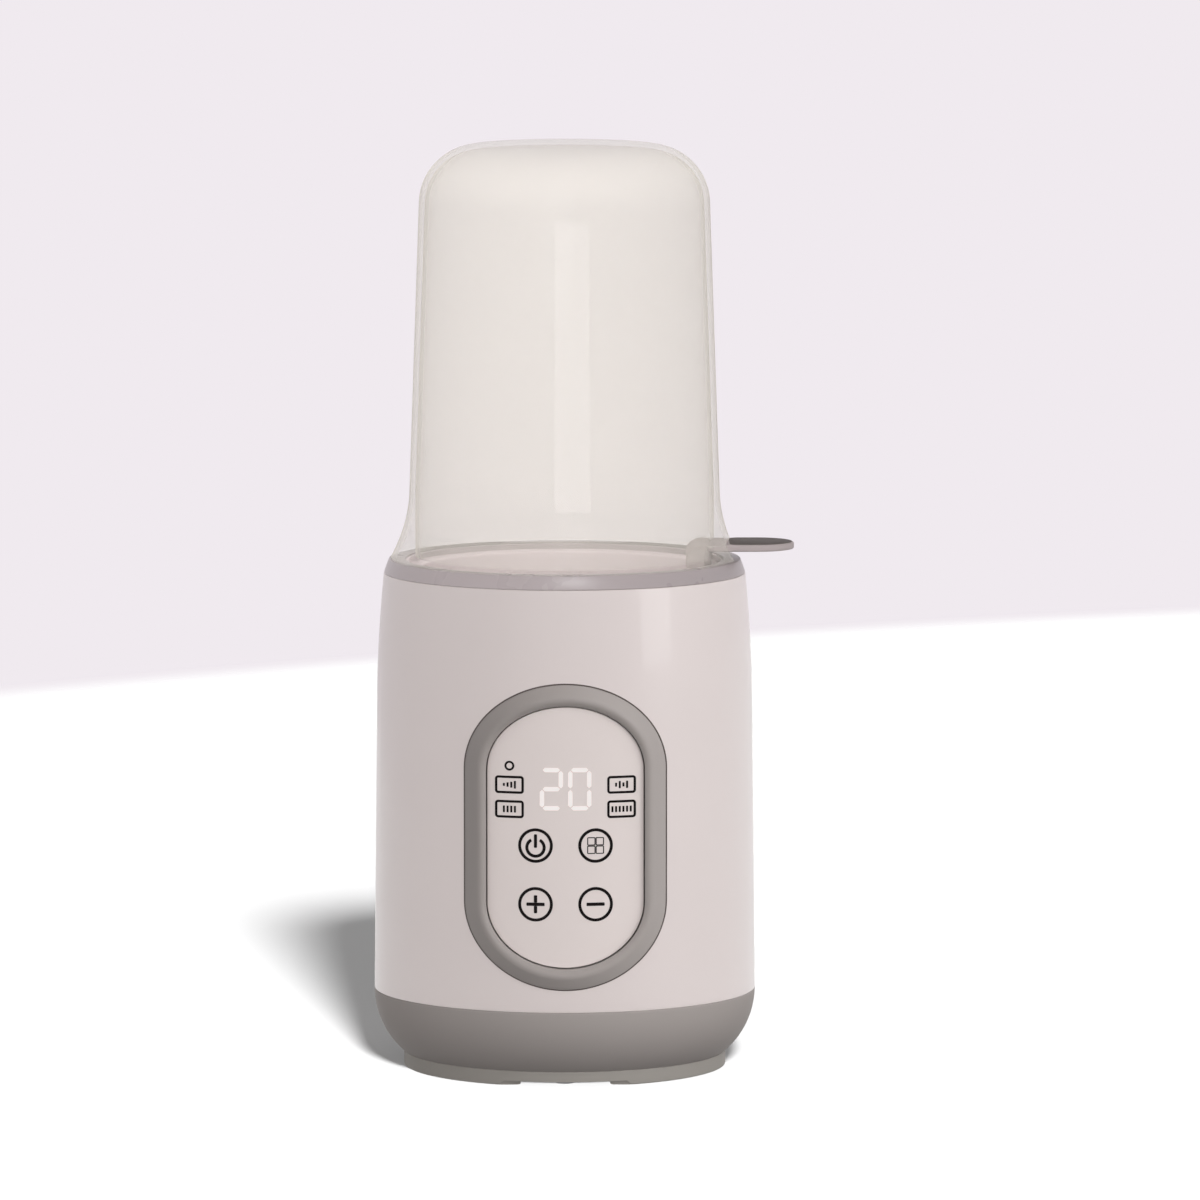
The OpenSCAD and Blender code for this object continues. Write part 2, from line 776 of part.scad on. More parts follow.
// Bowl under the body: curved wall, lip into the body, flange for the bottom plate and a pad for the cord
module base_shell() {
    inner_r = bowl_r - wall;
    lip_r = body_r - wall - fit;
    lip_foot_z = seam_z - 3;
    inner_end = asin((seam_z - flange_top_z) / inner_r);
    lip_start = asin((seam_z - lip_foot_z) / inner_r);
    color(mid_grey) difference() {
        union() {
            rotate_extrude() polygon(concat(
                back(arc(bowl_mid_r, seam_z, bowl_r, -bowl_end, 0)),
                [[hatch_r, foot_h], [hatch_r, flange_top_z]],
                arc(bowl_mid_r, seam_z, inner_r, -inner_end, -lip_start),
                [[lip_r - lip_t, lip_foot_z], [lip_r - lip_t, seam_z + lip_h - 0.5],
                    [lip_r - 0.4, seam_z + lip_h - 0.5], [lip_r - 0.4, seam_z]]
            ));
            bar_y(0, gland_z, gland_in_y + 4, gland_pad_y, gland_pad_r);
        }
        around(post_angles, post_at) translate([0, 0, foot_h - 1])
            cylinder(h = wall + 2, r = screw_r + fit);
        bar_y(0, gland_z, gland_in_y - 1, gland_pad_y + 1, gland_r + fit);
    }
}

// Bottom plate with the foot ring, its three notches, a groove for the rubber ring and the board's posts
module base_cover() {
    ring_in_r = foot_r - foot_t;
    color(light_grey) difference() {
        union() {
            rotate_extrude() polygon([
                [0, bottom_z], [ring_in_r, bottom_z], [ring_in_r, foot_gap], [foot_r, foot_gap],
                [foot_r, foot_h], [0, foot_h]
            ]);
            corners(power_hole_x, power_hole_y) translate([0, 0, foot_h - bite])
                cylinder(h = power_post_h + bite, r = screw_head_r);
        }
        around(post_angles, ring_in_r - 2) translate([0, 0, foot_gap]) rotate([90, 0, 90])
            linear_extrude(foot_t + 4)
            polygon([
                [-notch_w / 2 - notch_slant, -1], [notch_w / 2 + notch_slant, -1],
                [notch_w / 2, notch_h], [-notch_w / 2, notch_h]
            ]);
        translate([0, 0, bottom_z - 1]) difference() {
            cylinder(h = 1 + grip_inset, r = grip_out_r);
            translate([0, 0, -1]) cylinder(h = 3 + grip_inset, r = grip_in_r);
        }
        around(post_angles, post_at) translate([0, 0, bottom_z - 1])
            cylinder(h = bottom_t + 2, r = screw_r + fit);
        corners(power_hole_x, power_hole_y) translate([0, 0, foot_h + 0.6])
            cylinder(h = power_post_h, r = screw_r + fit / 2);
    }
}

// Rubber ring in the bottom plate's groove, which the object stands on
module non_slip_ring() {
    color(black) difference() {
        cylinder(h = bottom_z + grip_inset, r = grip_out_r - fit);
        translate([0, 0, -1]) cylinder(h = bottom_z + grip_inset + 2, r = grip_in_r + fit);
    }
}

// Three screws that hold the base to the posts of the tank
module base_screws() {
    color(steel) around(post_angles, post_at) translate([0, 0, bottom_z])
        screw(bottom_t + wall + screw_depth);
}

dome_cover();
lift_basket();
rim_ring();
body_shell();
water_tank();
heater_seal();
heating_plate();
heating_element();
heater_clamp();
heater_screws();
thermistor();
thermal_cutout();
control_panel();
panel_bezel();
control_board();
digit_display();
indicator_leds();
touch_pads();
control_board_screws();
power_board();
power_transformer();
relay();
capacitor();
terminal_block();
buzzer();
power_board_screws();
ribbon_cable();
heater_leads();
sensor_leads();
cord_gland();
base_shell();
base_cover();
non_slip_ring();
base_screws();
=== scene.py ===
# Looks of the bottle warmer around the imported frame: metres, +Z up, panel towards -Y, tab towards +X.
import json
import math

import bmesh
import bpy
from mathutils import Euler, Matrix, Vector


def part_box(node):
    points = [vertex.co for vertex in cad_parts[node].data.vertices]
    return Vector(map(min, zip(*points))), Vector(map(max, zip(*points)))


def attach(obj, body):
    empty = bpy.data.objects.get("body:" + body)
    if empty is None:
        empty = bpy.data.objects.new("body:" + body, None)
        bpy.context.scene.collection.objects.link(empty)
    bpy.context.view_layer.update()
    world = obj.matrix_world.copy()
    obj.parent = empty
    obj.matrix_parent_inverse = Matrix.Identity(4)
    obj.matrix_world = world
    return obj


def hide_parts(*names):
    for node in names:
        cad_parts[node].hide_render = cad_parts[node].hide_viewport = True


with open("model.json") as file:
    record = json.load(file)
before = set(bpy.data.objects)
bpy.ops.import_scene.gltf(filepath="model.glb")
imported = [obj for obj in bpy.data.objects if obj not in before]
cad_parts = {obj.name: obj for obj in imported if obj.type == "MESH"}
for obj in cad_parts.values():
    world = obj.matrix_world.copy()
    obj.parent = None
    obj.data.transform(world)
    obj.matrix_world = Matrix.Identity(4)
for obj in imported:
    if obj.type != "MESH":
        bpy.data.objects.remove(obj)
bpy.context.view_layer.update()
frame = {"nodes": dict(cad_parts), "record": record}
bpy.ops.object.select_all(action="DESELECT")

MM = 0.001
TURN = math.tau
RIGHT_ANGLE = math.pi / 2
LATHE_STEPS = 192
MERGE = 0.000002


def low_mm(node):
    """Lowest corner of a node of the frame, in millimetres."""
    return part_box(node)[0] / MM


def top_mm(node):
    """Highest corner of a node of the frame, in millimetres."""
    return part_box(node)[1] / MM


# Sizes in millimetres. Outer ones come from the frame.
FIT = 0.15
SLACK = 0.3
WALL = 2.4
EDGE = 0.3
SEAM_EDGE = 0.25
FINE_EDGE = 0.15
SINK = 0.6
TOOL_REACH = 5

# Body and rim
BODY_R = top_mm("body_shell").x
SEAM_Z = low_mm("body_shell").z
BODY_TOP_Z = top_mm("body_shell").z
BODY_DRAW = 1.3
SHOULDER_DRAW = 1.8
SHOULDER_H = 39
SHOULDER_Z = BODY_TOP_Z - SHOULDER_H
BODY_TOP_R = BODY_R - BODY_DRAW - SHOULDER_DRAW
BODY_RINGS = 44
RIM_TOP_Z = top_mm("rim_ring").z
RIM_TOP_R = BODY_TOP_R - 1.5
RIM_SKIRT_R = BODY_TOP_R - WALL - FIT
RIM_SHELF_T = 2
LIP_T = 1.6
LIP_H = 4

# Well
WELL_R = BODY_TOP_R - 11.9
WELL_OUT_R = WELL_R + 2
FLOOR_Z = top_mm("heating_plate").z
FLOOR_UNDER_Z = FLOOR_Z - 2
PLATE_R = WELL_R - 10.5
COLLAR_R = WELL_R + 2.3
COLLAR_OUT_R = COLLAR_R + 1.7
STEP_R = COLLAR_OUT_R + SLACK
TANK_R = STEP_R + 0.9
DECK_Z = top_mm("water_tank").z
LEDGE_Z = BODY_TOP_Z + 0.2
STEP_Z = LEDGE_Z + 1.8
POST_AT = WELL_OUT_R - 4.5
POST_R = 4
POST_LOW_Z = low_mm("water_tank").z
POST_ANGLES = (30, 150, 270)
CLAMP_ANGLES = (90, 210, 330)
CLAMP_AT = PLATE_R + 6.6
CLAMP_Z = FLOOR_UNDER_Z - 2.5
PILOT_H = 11
SCREW_R = 1.5
SCREW_HEAD_R = 2.8

# Cover
COVER_TOP_Z = top_mm("dome_cover").z
COVER_WALL = 1.8
COVER_ROUND = 18
COVER_TOP_R = 44.1
NECK_R = COLLAR_R + COVER_WALL
FLARE_H = 20.3
NECK_Z = RIM_TOP_Z + FLARE_H
SKIRT_R = RIM_TOP_R - 0.4
COLLAR_Z = STEP_Z + SLACK
GROOVE_TOP_Z = NECK_Z - 11
CLEAR_Z = RIM_TOP_Z + 0.8
SEAT_Z = RIM_TOP_Z + 0.05
NECK_ROUND = 120
NOTCH_ROUND = 2
SKIRT_RINGS = 20
WALL_RINGS = 16
DOME_RINGS = 24

# Basket
TAB_TIP_X = top_mm("lift_basket").x
TAB_TOP_Z = top_mm("lift_basket").z
TAB_T = 2.1
TAB_W = 22.8
# The pad paints shade: a dark pad on the tab's top, where the top is in shade.
PAD_INSET = 0.6
PAD_ROOT_X = 50
PAD_ROUND = 3
PAD_SUNK = 0.1
PAD_PROUD = 0.12
STRAP_W = 29
STRAP_OUT_R = WELL_R - 1.2
STRAP_IN_R = STRAP_OUT_R - 2
SADDLE_OUT_R = COLLAR_R - 0.7
SADDLE_Z = STEP_Z + SLACK
SADDLE_ROUND = 3.6
SADDLE_CORNER = 6
TRAY_R = STRAP_OUT_R - 0.6
TRAY_Z = FLOOR_Z + 3
TRAY_T = 2
TRAY_RIM_H = 8
DRAIN_R = 3
INNER_DRAINS_AT = TRAY_R - 25.5
OUTER_DRAINS_AT = TRAY_R - 11.5
TRAY_FOOT_R = 2.4
NOTCH_CLEAR = 1.2

# Bezel and panel
PANEL_Z = 77
BEZEL_HALF_W = 30.1
BEZEL_HALF_H = 45.9
BEZEL_END = 26
BEZEL_STRAIGHT = BEZEL_HALF_H - BEZEL_END
BEZEL_BAND = 6.3
BEZEL_EDGE_H = 0.65
CREST_INSET = 4.3
CREST_H = 3.25
CREST_ROUND = 2
BEZEL_INNER_H = 1.65
STEM_INSET = 2.2
SHELF_W = 1.4
# Dark strip under the bezel's outer edge, which paints the shade line round the bezel.
SHADE_LINE_OUT = 0.4
SHADE_LINE_T = 0.3
SHADE_LINE_FOOT_H = 0.04
SHADE_LINE_EDGE_H = 0.16
SHADE_LINE_TOP_H = SHADE_LINE_T - 0.02
PANEL_GAP = 0.4
PANEL_OUT = 0.3
PANEL_BACK = -1.7
SHELF_BACK = -3.2
PANEL_HALF_TURN = 28
PILL_POINTS = 144
IN_FRONT_Y = -80

# Base
FOOT_R = top_mm("base_cover").x
FOOT_LOW_Z = low_mm("base_cover").z
FOOT_H = 4.8
FOOT_T = 2.6
BOWL_R = 25
BOWL_MID_R = BODY_R - BOWL_R
BOWL_LIP_H = 3.5
BOWL_LIP_GAP = 0.4
BOWL_LIP_ROOT = 3
BOTTOM_Z = FOOT_H - 2
HATCH_R = 32.12
NOTCH_HALF_W = 18.5
NOTCH_SLANT = 1.7
NOTCH_H = 1.4
GRIP_OUT_R = POST_AT - SCREW_HEAD_R - 0.7
GRIP_IN_R = GRIP_OUT_R - 6
GRIP_INSET = 0.8
BOARD_POST_X = 21
BOARD_POST_Y = 19
BOARD_POST_H = 7
OUTLET_Z = 14
OUTLET_R = 3.3
OUTLET_SLEEVE_R = OUTLET_R + 2
OUTLET_FLANGE_R = OUTLET_SLEEVE_R + 2
OUTLET_FLANGE_T = 1.6
OUTLET_PAD_R = OUTLET_FLANGE_R + 1
OUTLET_PAD_T = 4
OUTLET_LENGTH = 8


# Modelling tools

def steps_between(start, end, count):
    """Evenly spaced values from a start to an end."""
    return [start + (end - start) * i / count for i in range(count + 1)]


def arc(r, z, radius, start, end, count):
    """Points on an arc about (r, z), from one angle in degrees to another."""
    angles = [math.radians(angle) for angle in steps_between(start, end, count)]
    return [(r + radius * math.cos(a), z + radius * math.sin(a)) for a in angles]


def soften(corners, count=4):
    """Closed outline through corners (r, z) or (r, z, rounding), with an arc at each rounded corner."""
    outline = []
    for i, corner in enumerate(corners):
        here = Vector(corner[:2])
        if len(corner) < 3:
            outline.append(here)
            continue
        back = (Vector(corners[i - 1][:2]) - here).normalized()
        ahead = (Vector(corners[(i + 1) % len(corners)][:2]) - here).normalized()
        half = back.angle(ahead) / 2
        centre = here + (back + ahead).normalized() * corner[2] / math.sin(half)
        reach = corner[2] / math.tan(half)
        first = here + back * reach - centre
        last = here + ahead * reach - centre
        outline += [centre + corner[2] * first.slerp(last, step / count) for step in range(count + 1)]
    return outline


def activate(piece):
    """Makes a piece the one that the next operators act on."""
    bpy.ops.object.select_all(action="DESELECT")
    bpy.context.view_layer.objects.active = piece
    piece.select_set(True)


def edit(piece):
    """Opens a piece in edit mode with nothing selected."""
    activate(piece)
    bpy.ops.object.mode_set(mode="EDIT")
    bpy.ops.mesh.select_mode(type="VERT")
    bpy.ops.mesh.select_all(action="DESELECT")


def close():
    """Leaves edit mode."""
    bpy.ops.object.mode_set(mode="OBJECT")


def named(name):
    """Names the piece that an operator has just added."""
    piece = bpy.context.object
    piece.name = name
    piece.data.name = name
    return piece


def pick(piece, test):
    """Selects the vertices whose index and place, in millimetres, pass a test."""
    mesh = bmesh.from_edit_mesh(piece.data)
    mesh.verts.ensure_lookup_table()
    for vertex in mesh.verts:
        vertex.select = test(vertex.index, vertex.co / MM)
    mesh.select_flush_mode()
    bmesh.update_edit_mesh(piece.data)


def picked(piece):
    """Indices of the selected vertices."""
    mesh = bmesh.from_edit_mesh(piece.data)
    mesh.verts.index_update()
    return {vertex.index for vertex in mesh.verts if vertex.select}


def apply(piece, modifier):
    """Applies a modifier to its piece."""
    activate(piece)
    bpy.ops.object.modifier_apply(modifier=modifier.name)


def carve(piece, tool, operation="DIFFERENCE"):
    """Cuts a tool out of a piece, joins it on or trims the piece to it. The tool is used up."""
    modifier = piece.modifiers.new("carve", "BOOLEAN")
    modifier.operation = operation
    modifier.object = tool
    modifier.solver = "EXACT"
    apply(piece, modifier)
    bpy.data.objects.remove(tool)


def joined(name, pieces):
    """Joins pieces into one."""
    activate(pieces[0])
    for piece in pieces:
        piece.select_set(True)
    bpy.ops.object.join()
    return named(name)


def round_edges(piece, width, segments=3, angle=40):
    """Rounds the sharp edges of a piece."""
    modifier = piece.modifiers.new("round", "BEVEL")
    modifier.width = width * MM
    modifier.segments = segments
    modifier.limit_method = "ANGLE"
    modifier.angle_limit = math.radians(angle)
    apply(piece, modifier)


def smooth(piece, angle=30):
    """Shades a piece smooth, apart from its sharp edges."""
    activate(piece)
    bpy.ops.object.shade_smooth_by_angle(angle=math.radians(angle))


def clean(piece):
    """Merges double points and turns the faces outwards."""
    edit(piece)
    bpy.ops.mesh.select_all(action="SELECT")
    bpy.ops.mesh.remove_doubles(threshold=MERGE)
    bpy.ops.mesh.normals_make_consistent(inside=False)
    close()


def start_point(name, place):
    """Starts a piece as one point, left selected in edit mode."""
    bpy.ops.object.select_all(action="DESELECT")
    bpy.ops.mesh.primitive_plane_add(size=MM)
    piece = named(name)
    edit(piece)
    bpy.ops.mesh.select_all(action="SELECT")
    bpy.ops.mesh.merge(type="CENTER")
    bpy.ops.transform.translate(value=place)
    return piece


def draw_line(name, outline, angle=0.0):
    """Draws an outline of (r, z) points in the upright plane at an angle about Z, left open in edit mode."""
    places = [Vector((p[0] * math.cos(angle), p[0] * math.sin(angle), p[1])) * MM for p in outline]
    piece = start_point(name, places[0])
    for here, there in zip(places, places[1:]):
        bpy.ops.mesh.extrude_vertices_move(TRANSFORM_OT_translate={"value": there - here})
    bpy.ops.mesh.select_all(action="SELECT")
    return piece


def lathe(name, corners, steps=LATHE_STEPS):
    """Turns a closed outline once round the Z axis."""
    outline = soften(corners)
    piece = draw_line(name, outline + outline[:1])
    bpy.ops.mesh.spin(steps=steps, angle=TURN, center=(0, 0, 0), axis=(0, 0, 1))
    close()
    clean(piece)
    return piece


def lathe_part(name, corners, middle, half_turn, steps=48):
    """Turns a closed outline part of the way round Z, to both sides of a middle angle in degrees."""
    start = math.radians(middle + half_turn)
    outline = soften(corners)
    piece = draw_line(name, outline + outline[:1], start)
    bpy.ops.mesh.remove_doubles(threshold=MERGE)
    bpy.ops.mesh.edge_face_add()
    bpy.ops.mesh.spin(steps=steps, angle=math.radians(2 * half_turn), center=(0, 0, 0), axis=(0, 0, 1))
    close()
    clean(piece)
    return piece


def post(name, x, y, low, high, r, sides=48):
    """Upright round bar."""
    bpy.ops.object.select_all(action="DESELECT")
    bpy.ops.mesh.primitive_cylinder_add(
        vertices=sides, radius=r * MM, depth=(high - low) * MM,
        location=Vector((x, y, (low + high) / 2)) * MM)
    bpy.ops.object.transform_apply(location=True, rotation=False, scale=False)
    return named(name)


def bar_y(name, z, front, rear, r, sides=64):
    """Round bar along Y, through x = 0."""
    bpy.ops.object.select_all(action="DESELECT")
    bpy.ops.mesh.primitive_cylinder_add(
        vertices=sides, radius=r * MM, depth=(rear - front) * MM,
        location=Vector((0, (front + rear) / 2, z)) * MM, rotation=(RIGHT_ANGLE, 0, 0))
    bpy.ops.object.transform_apply(location=True, rotation=True, scale=False)
    return named(name)


def block(name, low, high):
    """Box between two corners."""
    low, high = Vector(low), Vector(high)
    bpy.ops.object.select_all(action="DESELECT")
    bpy.ops.mesh.primitive_cube_add(size=MM, location=(low + high) / 2 * MM, scale=high - low)
    bpy.ops.object.transform_apply(location=True, rotation=False, scale=True)
    return named(name)


def on_circle(angle, r):
    """Place on a circle about the axis."""
    return r * math.cos(math.radians(angle)), r * math.sin(math.radians(angle))


def body_r(z):
    """Outer radius of the body at a height."""
    rise = (z - SEAM_Z) / (BODY_TOP_Z - SEAM_Z)
    bend = max(0.0, z - SHOULDER_Z) / SHOULDER_H
    return BODY_R - BODY_DRAW * rise - SHOULDER_DRAW * bend ** 2


def body_line(low, high, out):
    """The body's outline from a low to a high place, moved out by a distance."""
    return [(body_r(z) + out, z) for z in steps_between(low, high, BODY_RINGS)]


def body_form(out):
    """Open skin at a distance from the body, which printed and raised pieces are laid on."""
    piece = draw_line("body_form", body_line(SEAM_Z + 1, BODY_TOP_Z - 1, out))
    bpy.ops.mesh.spin(steps=2 * LATHE_STEPS, angle=TURN, center=(0, 0, 0), axis=(0, 0, 1))
    close()
    clean(piece)
    return piece


def lay_on_body(piece, out):
    """Moves each point of a flat piece back along Y, onto the skin at a distance from the body."""
    form = body_form(out)
    modifier = piece.modifiers.new("lay", "SHRINKWRAP")
    modifier.target = form
    modifier.wrap_method = "PROJECT"
    modifier.use_project_y = True
    modifier.use_positive_direction = True
    modifier.use_negative_direction = False
    apply(piece, modifier)
    bpy.data.objects.remove(form)


def pill_loop(name, inset):
    """Loop in the bezel's outline drawn in by an inset, in front of the body. Left open in edit mode."""
    bpy.ops.object.select_all(action="DESELECT")
    bpy.ops.mesh.primitive_circle_add(
        vertices=PILL_POINTS, radius=1, rotation=(RIGHT_ANGLE, math.pi / PILL_POINTS, 0))
    bpy.ops.object.transform_apply(location=False, rotation=True, scale=False)
    piece = named(name)
    edit(piece)
    bpy.ops.mesh.select_all(action="SELECT")
    bpy.ops.transform.resize(value=((BEZEL_HALF_W - inset) * MM, 1, (BEZEL_END - inset) * MM))
    bpy.ops.transform.translate(value=(0, IN_FRONT_Y * MM, 0))
    for side in (1, -1):
        pick(piece, lambda index, place: place.z * side > 0)
        bpy.ops.transform.translate(value=(0, 0, side * BEZEL_STRAIGHT * MM))
    bpy.ops.mesh.select_all(action="SELECT")
    bpy.ops.transform.translate(value=(0, 0, PANEL_Z * MM))
    return piece


def pill_bar(name, inset):
    """Bar along Y through the body's front, in the bezel's outline drawn in by an inset."""
    piece = pill_loop(name, inset)
    bpy.ops.mesh.edge_face_add()
    bpy.ops.mesh.extrude_region_move(TRANSFORM_OT_translate={"value": (0, -IN_FRONT_Y / 2 * MM, 0)})
    close()
    clean(piece)
    return piece


# Pieces

def make_cover():
    """Tall cover: rounded top, flared skirt, inner collar and a notch for the basket's tab."""
    mid_r = COVER_TOP_R - COVER_ROUND
    mid_z = COVER_TOP_Z - COVER_ROUND
    lean = (NECK_R - COVER_TOP_R) / (mid_z - NECK_Z)
    draft = math.degrees(math.atan(lean))
    flare = SKIRT_R - NECK_R - lean * FLARE_H

    def skirt(inset, top_z):
        line = []
        for z in steps_between(SEAT_Z, top_z, SKIRT_RINGS):
            drop = NECK_Z - z
            line.append((NECK_R + lean * drop + flare * (drop / FLARE_H) ** 2 - inset, z))
        return line

    def wall(inset):
        heights = steps_between(NECK_Z, mid_z, WALL_RINGS)[1:-1]
        return [(NECK_R - lean * (z - NECK_Z) - inset, z) for z in heights]

    groove = skirt(COVER_WALL, GROOVE_TOP_Z)
    outer = skirt(0, NECK_Z)
    outline = [(COLLAR_OUT_R, COLLAR_Z, EDGE), (COLLAR_OUT_R, GROOVE_TOP_Z)]
    outline += groove[:0:-1]
    outline += [(*groove[0], EDGE), (*outer[0], EDGE)]
    outline += outer[1:] + wall(0)
    outline += arc(mid_r, mid_z, COVER_ROUND, draft, 90, DOME_RINGS)
    outline += [(0, COVER_TOP_Z), (0, COVER_TOP_Z - COVER_WALL)]
    outline += arc(mid_r, mid_z, COVER_ROUND - COVER_WALL, 90, draft, DOME_RINGS)
    outline += wall(COVER_WALL)[:0:-1]
    outline += [(COLLAR_R, NECK_Z, NECK_ROUND), (COLLAR_R, CLEAR_Z), (COLLAR_R, COLLAR_Z, EDGE)]
    piece = lathe("cover_shell", outline)
    half_w = TAB_W / 2 + NOTCH_CLEAR
    notch = block(
        "notch", (STRAP_IN_R / 2, -half_w, COLLAR_Z - TOOL_REACH),
        (BODY_R + TOOL_REACH, half_w, TAB_TOP_Z + NOTCH_CLEAR))
    round_edges(notch, NOTCH_ROUND, 4)
    carve(piece, notch)
    return piece


def clear_groove(piece):
    """Gives the groove between the cover's collar and skirt, and the lower edges, their clearer finish."""
    piece.data.materials.append(FINISHES["clear_groove"])
    edit(piece)
    bpy.ops.mesh.select_mode(type="FACE")
    mesh = bmesh.from_edit_mesh(piece.data)
    for face in mesh.faces:
        place = face.calc_center_median() / MM
        r = math.hypot(place.x, place.y)
        outwards = face.normal.x * place.x + face.normal.y * place.y
        on_collar = abs(r - COLLAR_OUT_R) < 0.25 and place.z < GROOVE_TOP_Z
        in_skirt = r > COLLAR_OUT_R and outwards < 0 and place.z < GROOVE_TOP_Z + 0.1
        in_collar = r < COLLAR_OUT_R and place.z < CLEAR_Z
        under = face.normal.z < -0.4 and place.z < NECK_Z
        face.select = on_collar or in_skirt or in_collar or under
    bmesh.update_edit_mesh(piece.data)
    piece.active_material_index = 1
    bpy.ops.object.material_slot_assign()
    close()


def make_rim():
    """Ring on top of the body, with a rebate for the well and a skirt inside the body."""
    return lathe("rim_band", [
        (BODY_TOP_R, BODY_TOP_Z, SEAM_EDGE), (RIM_TOP_R, RIM_TOP_Z, EDGE),
        (TANK_R + FIT, RIM_TOP_Z, FINE_EDGE), (TANK_R + FIT, LEDGE_Z), (WELL_OUT_R + SLACK, LEDGE_Z),
        (WELL_OUT_R + SLACK, LEDGE_Z - RIM_SHELF_T), (RIM_SKIRT_R - LIP_T, LEDGE_Z - RIM_SHELF_T),
        (RIM_SKIRT_R - LIP_T, BODY_TOP_Z - LIP_H, EDGE),
        (RIM_SKIRT_R, BODY_TOP_Z - LIP_H, EDGE), (RIM_SKIRT_R, BODY_TOP_Z)])


def make_barrel():
    """Barrel of the body, with the window for the panel."""
    outer = body_line(SEAM_Z, BODY_TOP_Z, 0)
    inner = body_line(SEAM_Z, BODY_TOP_Z, -WALL)
    outline = [(*outer[0], SEAM_EDGE)] + outer[1:-1] + [(*outer[-1], SEAM_EDGE)] + inner[::-1]
    piece = lathe("barrel", outline)
    carve(piece, pill_bar("window", STEM_INSET - FIT))
    return piece


def make_well():
    """Well with its deck, an open floor for the heating plate, and posts down to the base."""
    piece = lathe("well", [
        (TANK_R, LEDGE_Z), (TANK_R, DECK_Z, FINE_EDGE), (STEP_R, DECK_Z, EDGE), (STEP_R, STEP_Z, EDGE),
        (WELL_R, STEP_Z, 0.8), (WELL_R, FLOOR_Z, 2.4), (PLATE_R + FIT, FLOOR_Z),
        (PLATE_R + FIT, FLOOR_UNDER_Z), (WELL_OUT_R, FLOOR_UNDER_Z, 1), (WELL_OUT_R, LEDGE_Z)])
    root_z = FLOOR_UNDER_Z + SINK
    legs = [on_circle(angle, POST_AT) for angle in POST_ANGLES]
    carve(piece, bored_posts(
        "legs", legs, POST_R, POST_LOW_Z, root_z, POST_LOW_Z - 1, POST_LOW_Z + PILOT_H), "UNION")
    bosses = [on_circle(angle, CLAMP_AT) for angle in CLAMP_ANGLES]
    carve(piece, bored_posts(
        "bosses", bosses, SCREW_HEAD_R, CLAMP_Z, root_z, CLAMP_Z - 1, FLOOR_UNDER_Z + 0.1), "UNION")
    return piece


def bored_posts(name, places, r, low, high, bore_low, bore_high):
    """Upright posts with a screw's pilot hole in each."""
    bore_r = SCREW_R + FIT / 2
    posts = joined(name, [post("post", x, y, low, high, r) for x, y in places])
    carve(posts, joined("pilots", [post("pilot", x, y, bore_low, bore_high, bore_r) for x, y in places]))
    return posts


def tongue(name, root_x, tip_x, width, low, high, root_round=0.0):
    """Flat tongue along X with a round tip and, where asked, rounded corners at its root."""
    bpy.ops.object.select_all(action="DESELECT")
    bpy.ops.mesh.primitive_plane_add(size=1)
    piece = named(name)
    edit(piece)
    bpy.ops.mesh.select_all(action="SELECT")
    bpy.ops.transform.resize(value=((tip_x - root_x) * MM, width * MM, 1))
    bpy.ops.transform.translate(value=Vector(((tip_x + root_x) / 2, 0, low)) * MM)
    if root_round:
        pick(piece, lambda index, place: place.x < root_x + 1)
        bpy.ops.mesh.bevel(offset=root_round * MM, segments=8, affect="VERTICES")
    pick(piece, lambda index, place: place.x > tip_x - 1)
    bpy.ops.mesh.bevel(offset=width / 2 * 0.999 * MM, segments=24, affect="VERTICES", clamp_overlap=False)
    bpy.ops.mesh.select_all(action="SELECT")
    bpy.ops.mesh.extrude_region_move(TRANSFORM_OT_translate={"value": (0, 0, (high - low) * MM)})
    close()
    clean(piece)
    return piece


def make_tab():
    """Flat tab with a round tip, which the basket is lifted by."""
    root_x = math.sqrt(SADDLE_OUT_R ** 2 - (TAB_W / 2) ** 2) - SINK
    piece = tongue("tab", root_x, TAB_TIP_X, TAB_W, TAB_TOP_Z - TAB_T, TAB_TOP_Z)
    round_edges(piece, 0.55)
    return piece


def make_tab_shade_pad():
    """Thin dark pad, let into the top of the tab, which paints the shade on the tab's top."""
    piece = tongue(
        "tab_shade_pad", PAD_ROOT_X, TAB_TIP_X - PAD_INSET, TAB_W - 2 * PAD_INSET,
        TAB_TOP_Z - PAD_SUNK, TAB_TOP_Z + PAD_PROUD, PAD_ROUND)
    round_edges(piece, 0.08, 2)
    return piece


def make_strap():
    """Strap up the well's wall with a rounded saddle on top."""
    foot_z = TRAY_Z + SINK
    piece = lathe_part("strap", [
        (STRAP_IN_R, foot_z), (STRAP_OUT_R, foot_z), (STRAP_OUT_R, SADDLE_Z), (SADDLE_OUT_R, SADDLE_Z, EDGE),
        (SADDLE_OUT_R, TAB_TOP_Z, 0.5), (STRAP_IN_R, TAB_TOP_Z, SADDLE_ROUND)], 0, 30)
    half_w = STRAP_W / 2
    trim = block(
        "trim", (STRAP_IN_R / 2, -half_w, TRAY_Z - TOOL_REACH), (BODY_R, half_w, TAB_TOP_Z + 1))
    edit(trim)
    pick(trim, lambda index, place: place.z > TAB_TOP_Z)
    bpy.ops.mesh.select_mode(type="EDGE")
    mesh = bmesh.from_edit_mesh(trim.data)
    for edge in mesh.edges:
        along = edge.verts[1].co - edge.verts[0].co
        edge.select = edge.select and abs(along.y) < MM
    bmesh.update_edit_mesh(trim.data)
    bpy.ops.mesh.bevel(offset=SADDLE_CORNER * MM, segments=12, affect="EDGES")
    close()
    carve(piece, trim, "INTERSECT")
    round_edges(piece, 0.45, 2, 50)
    return piece


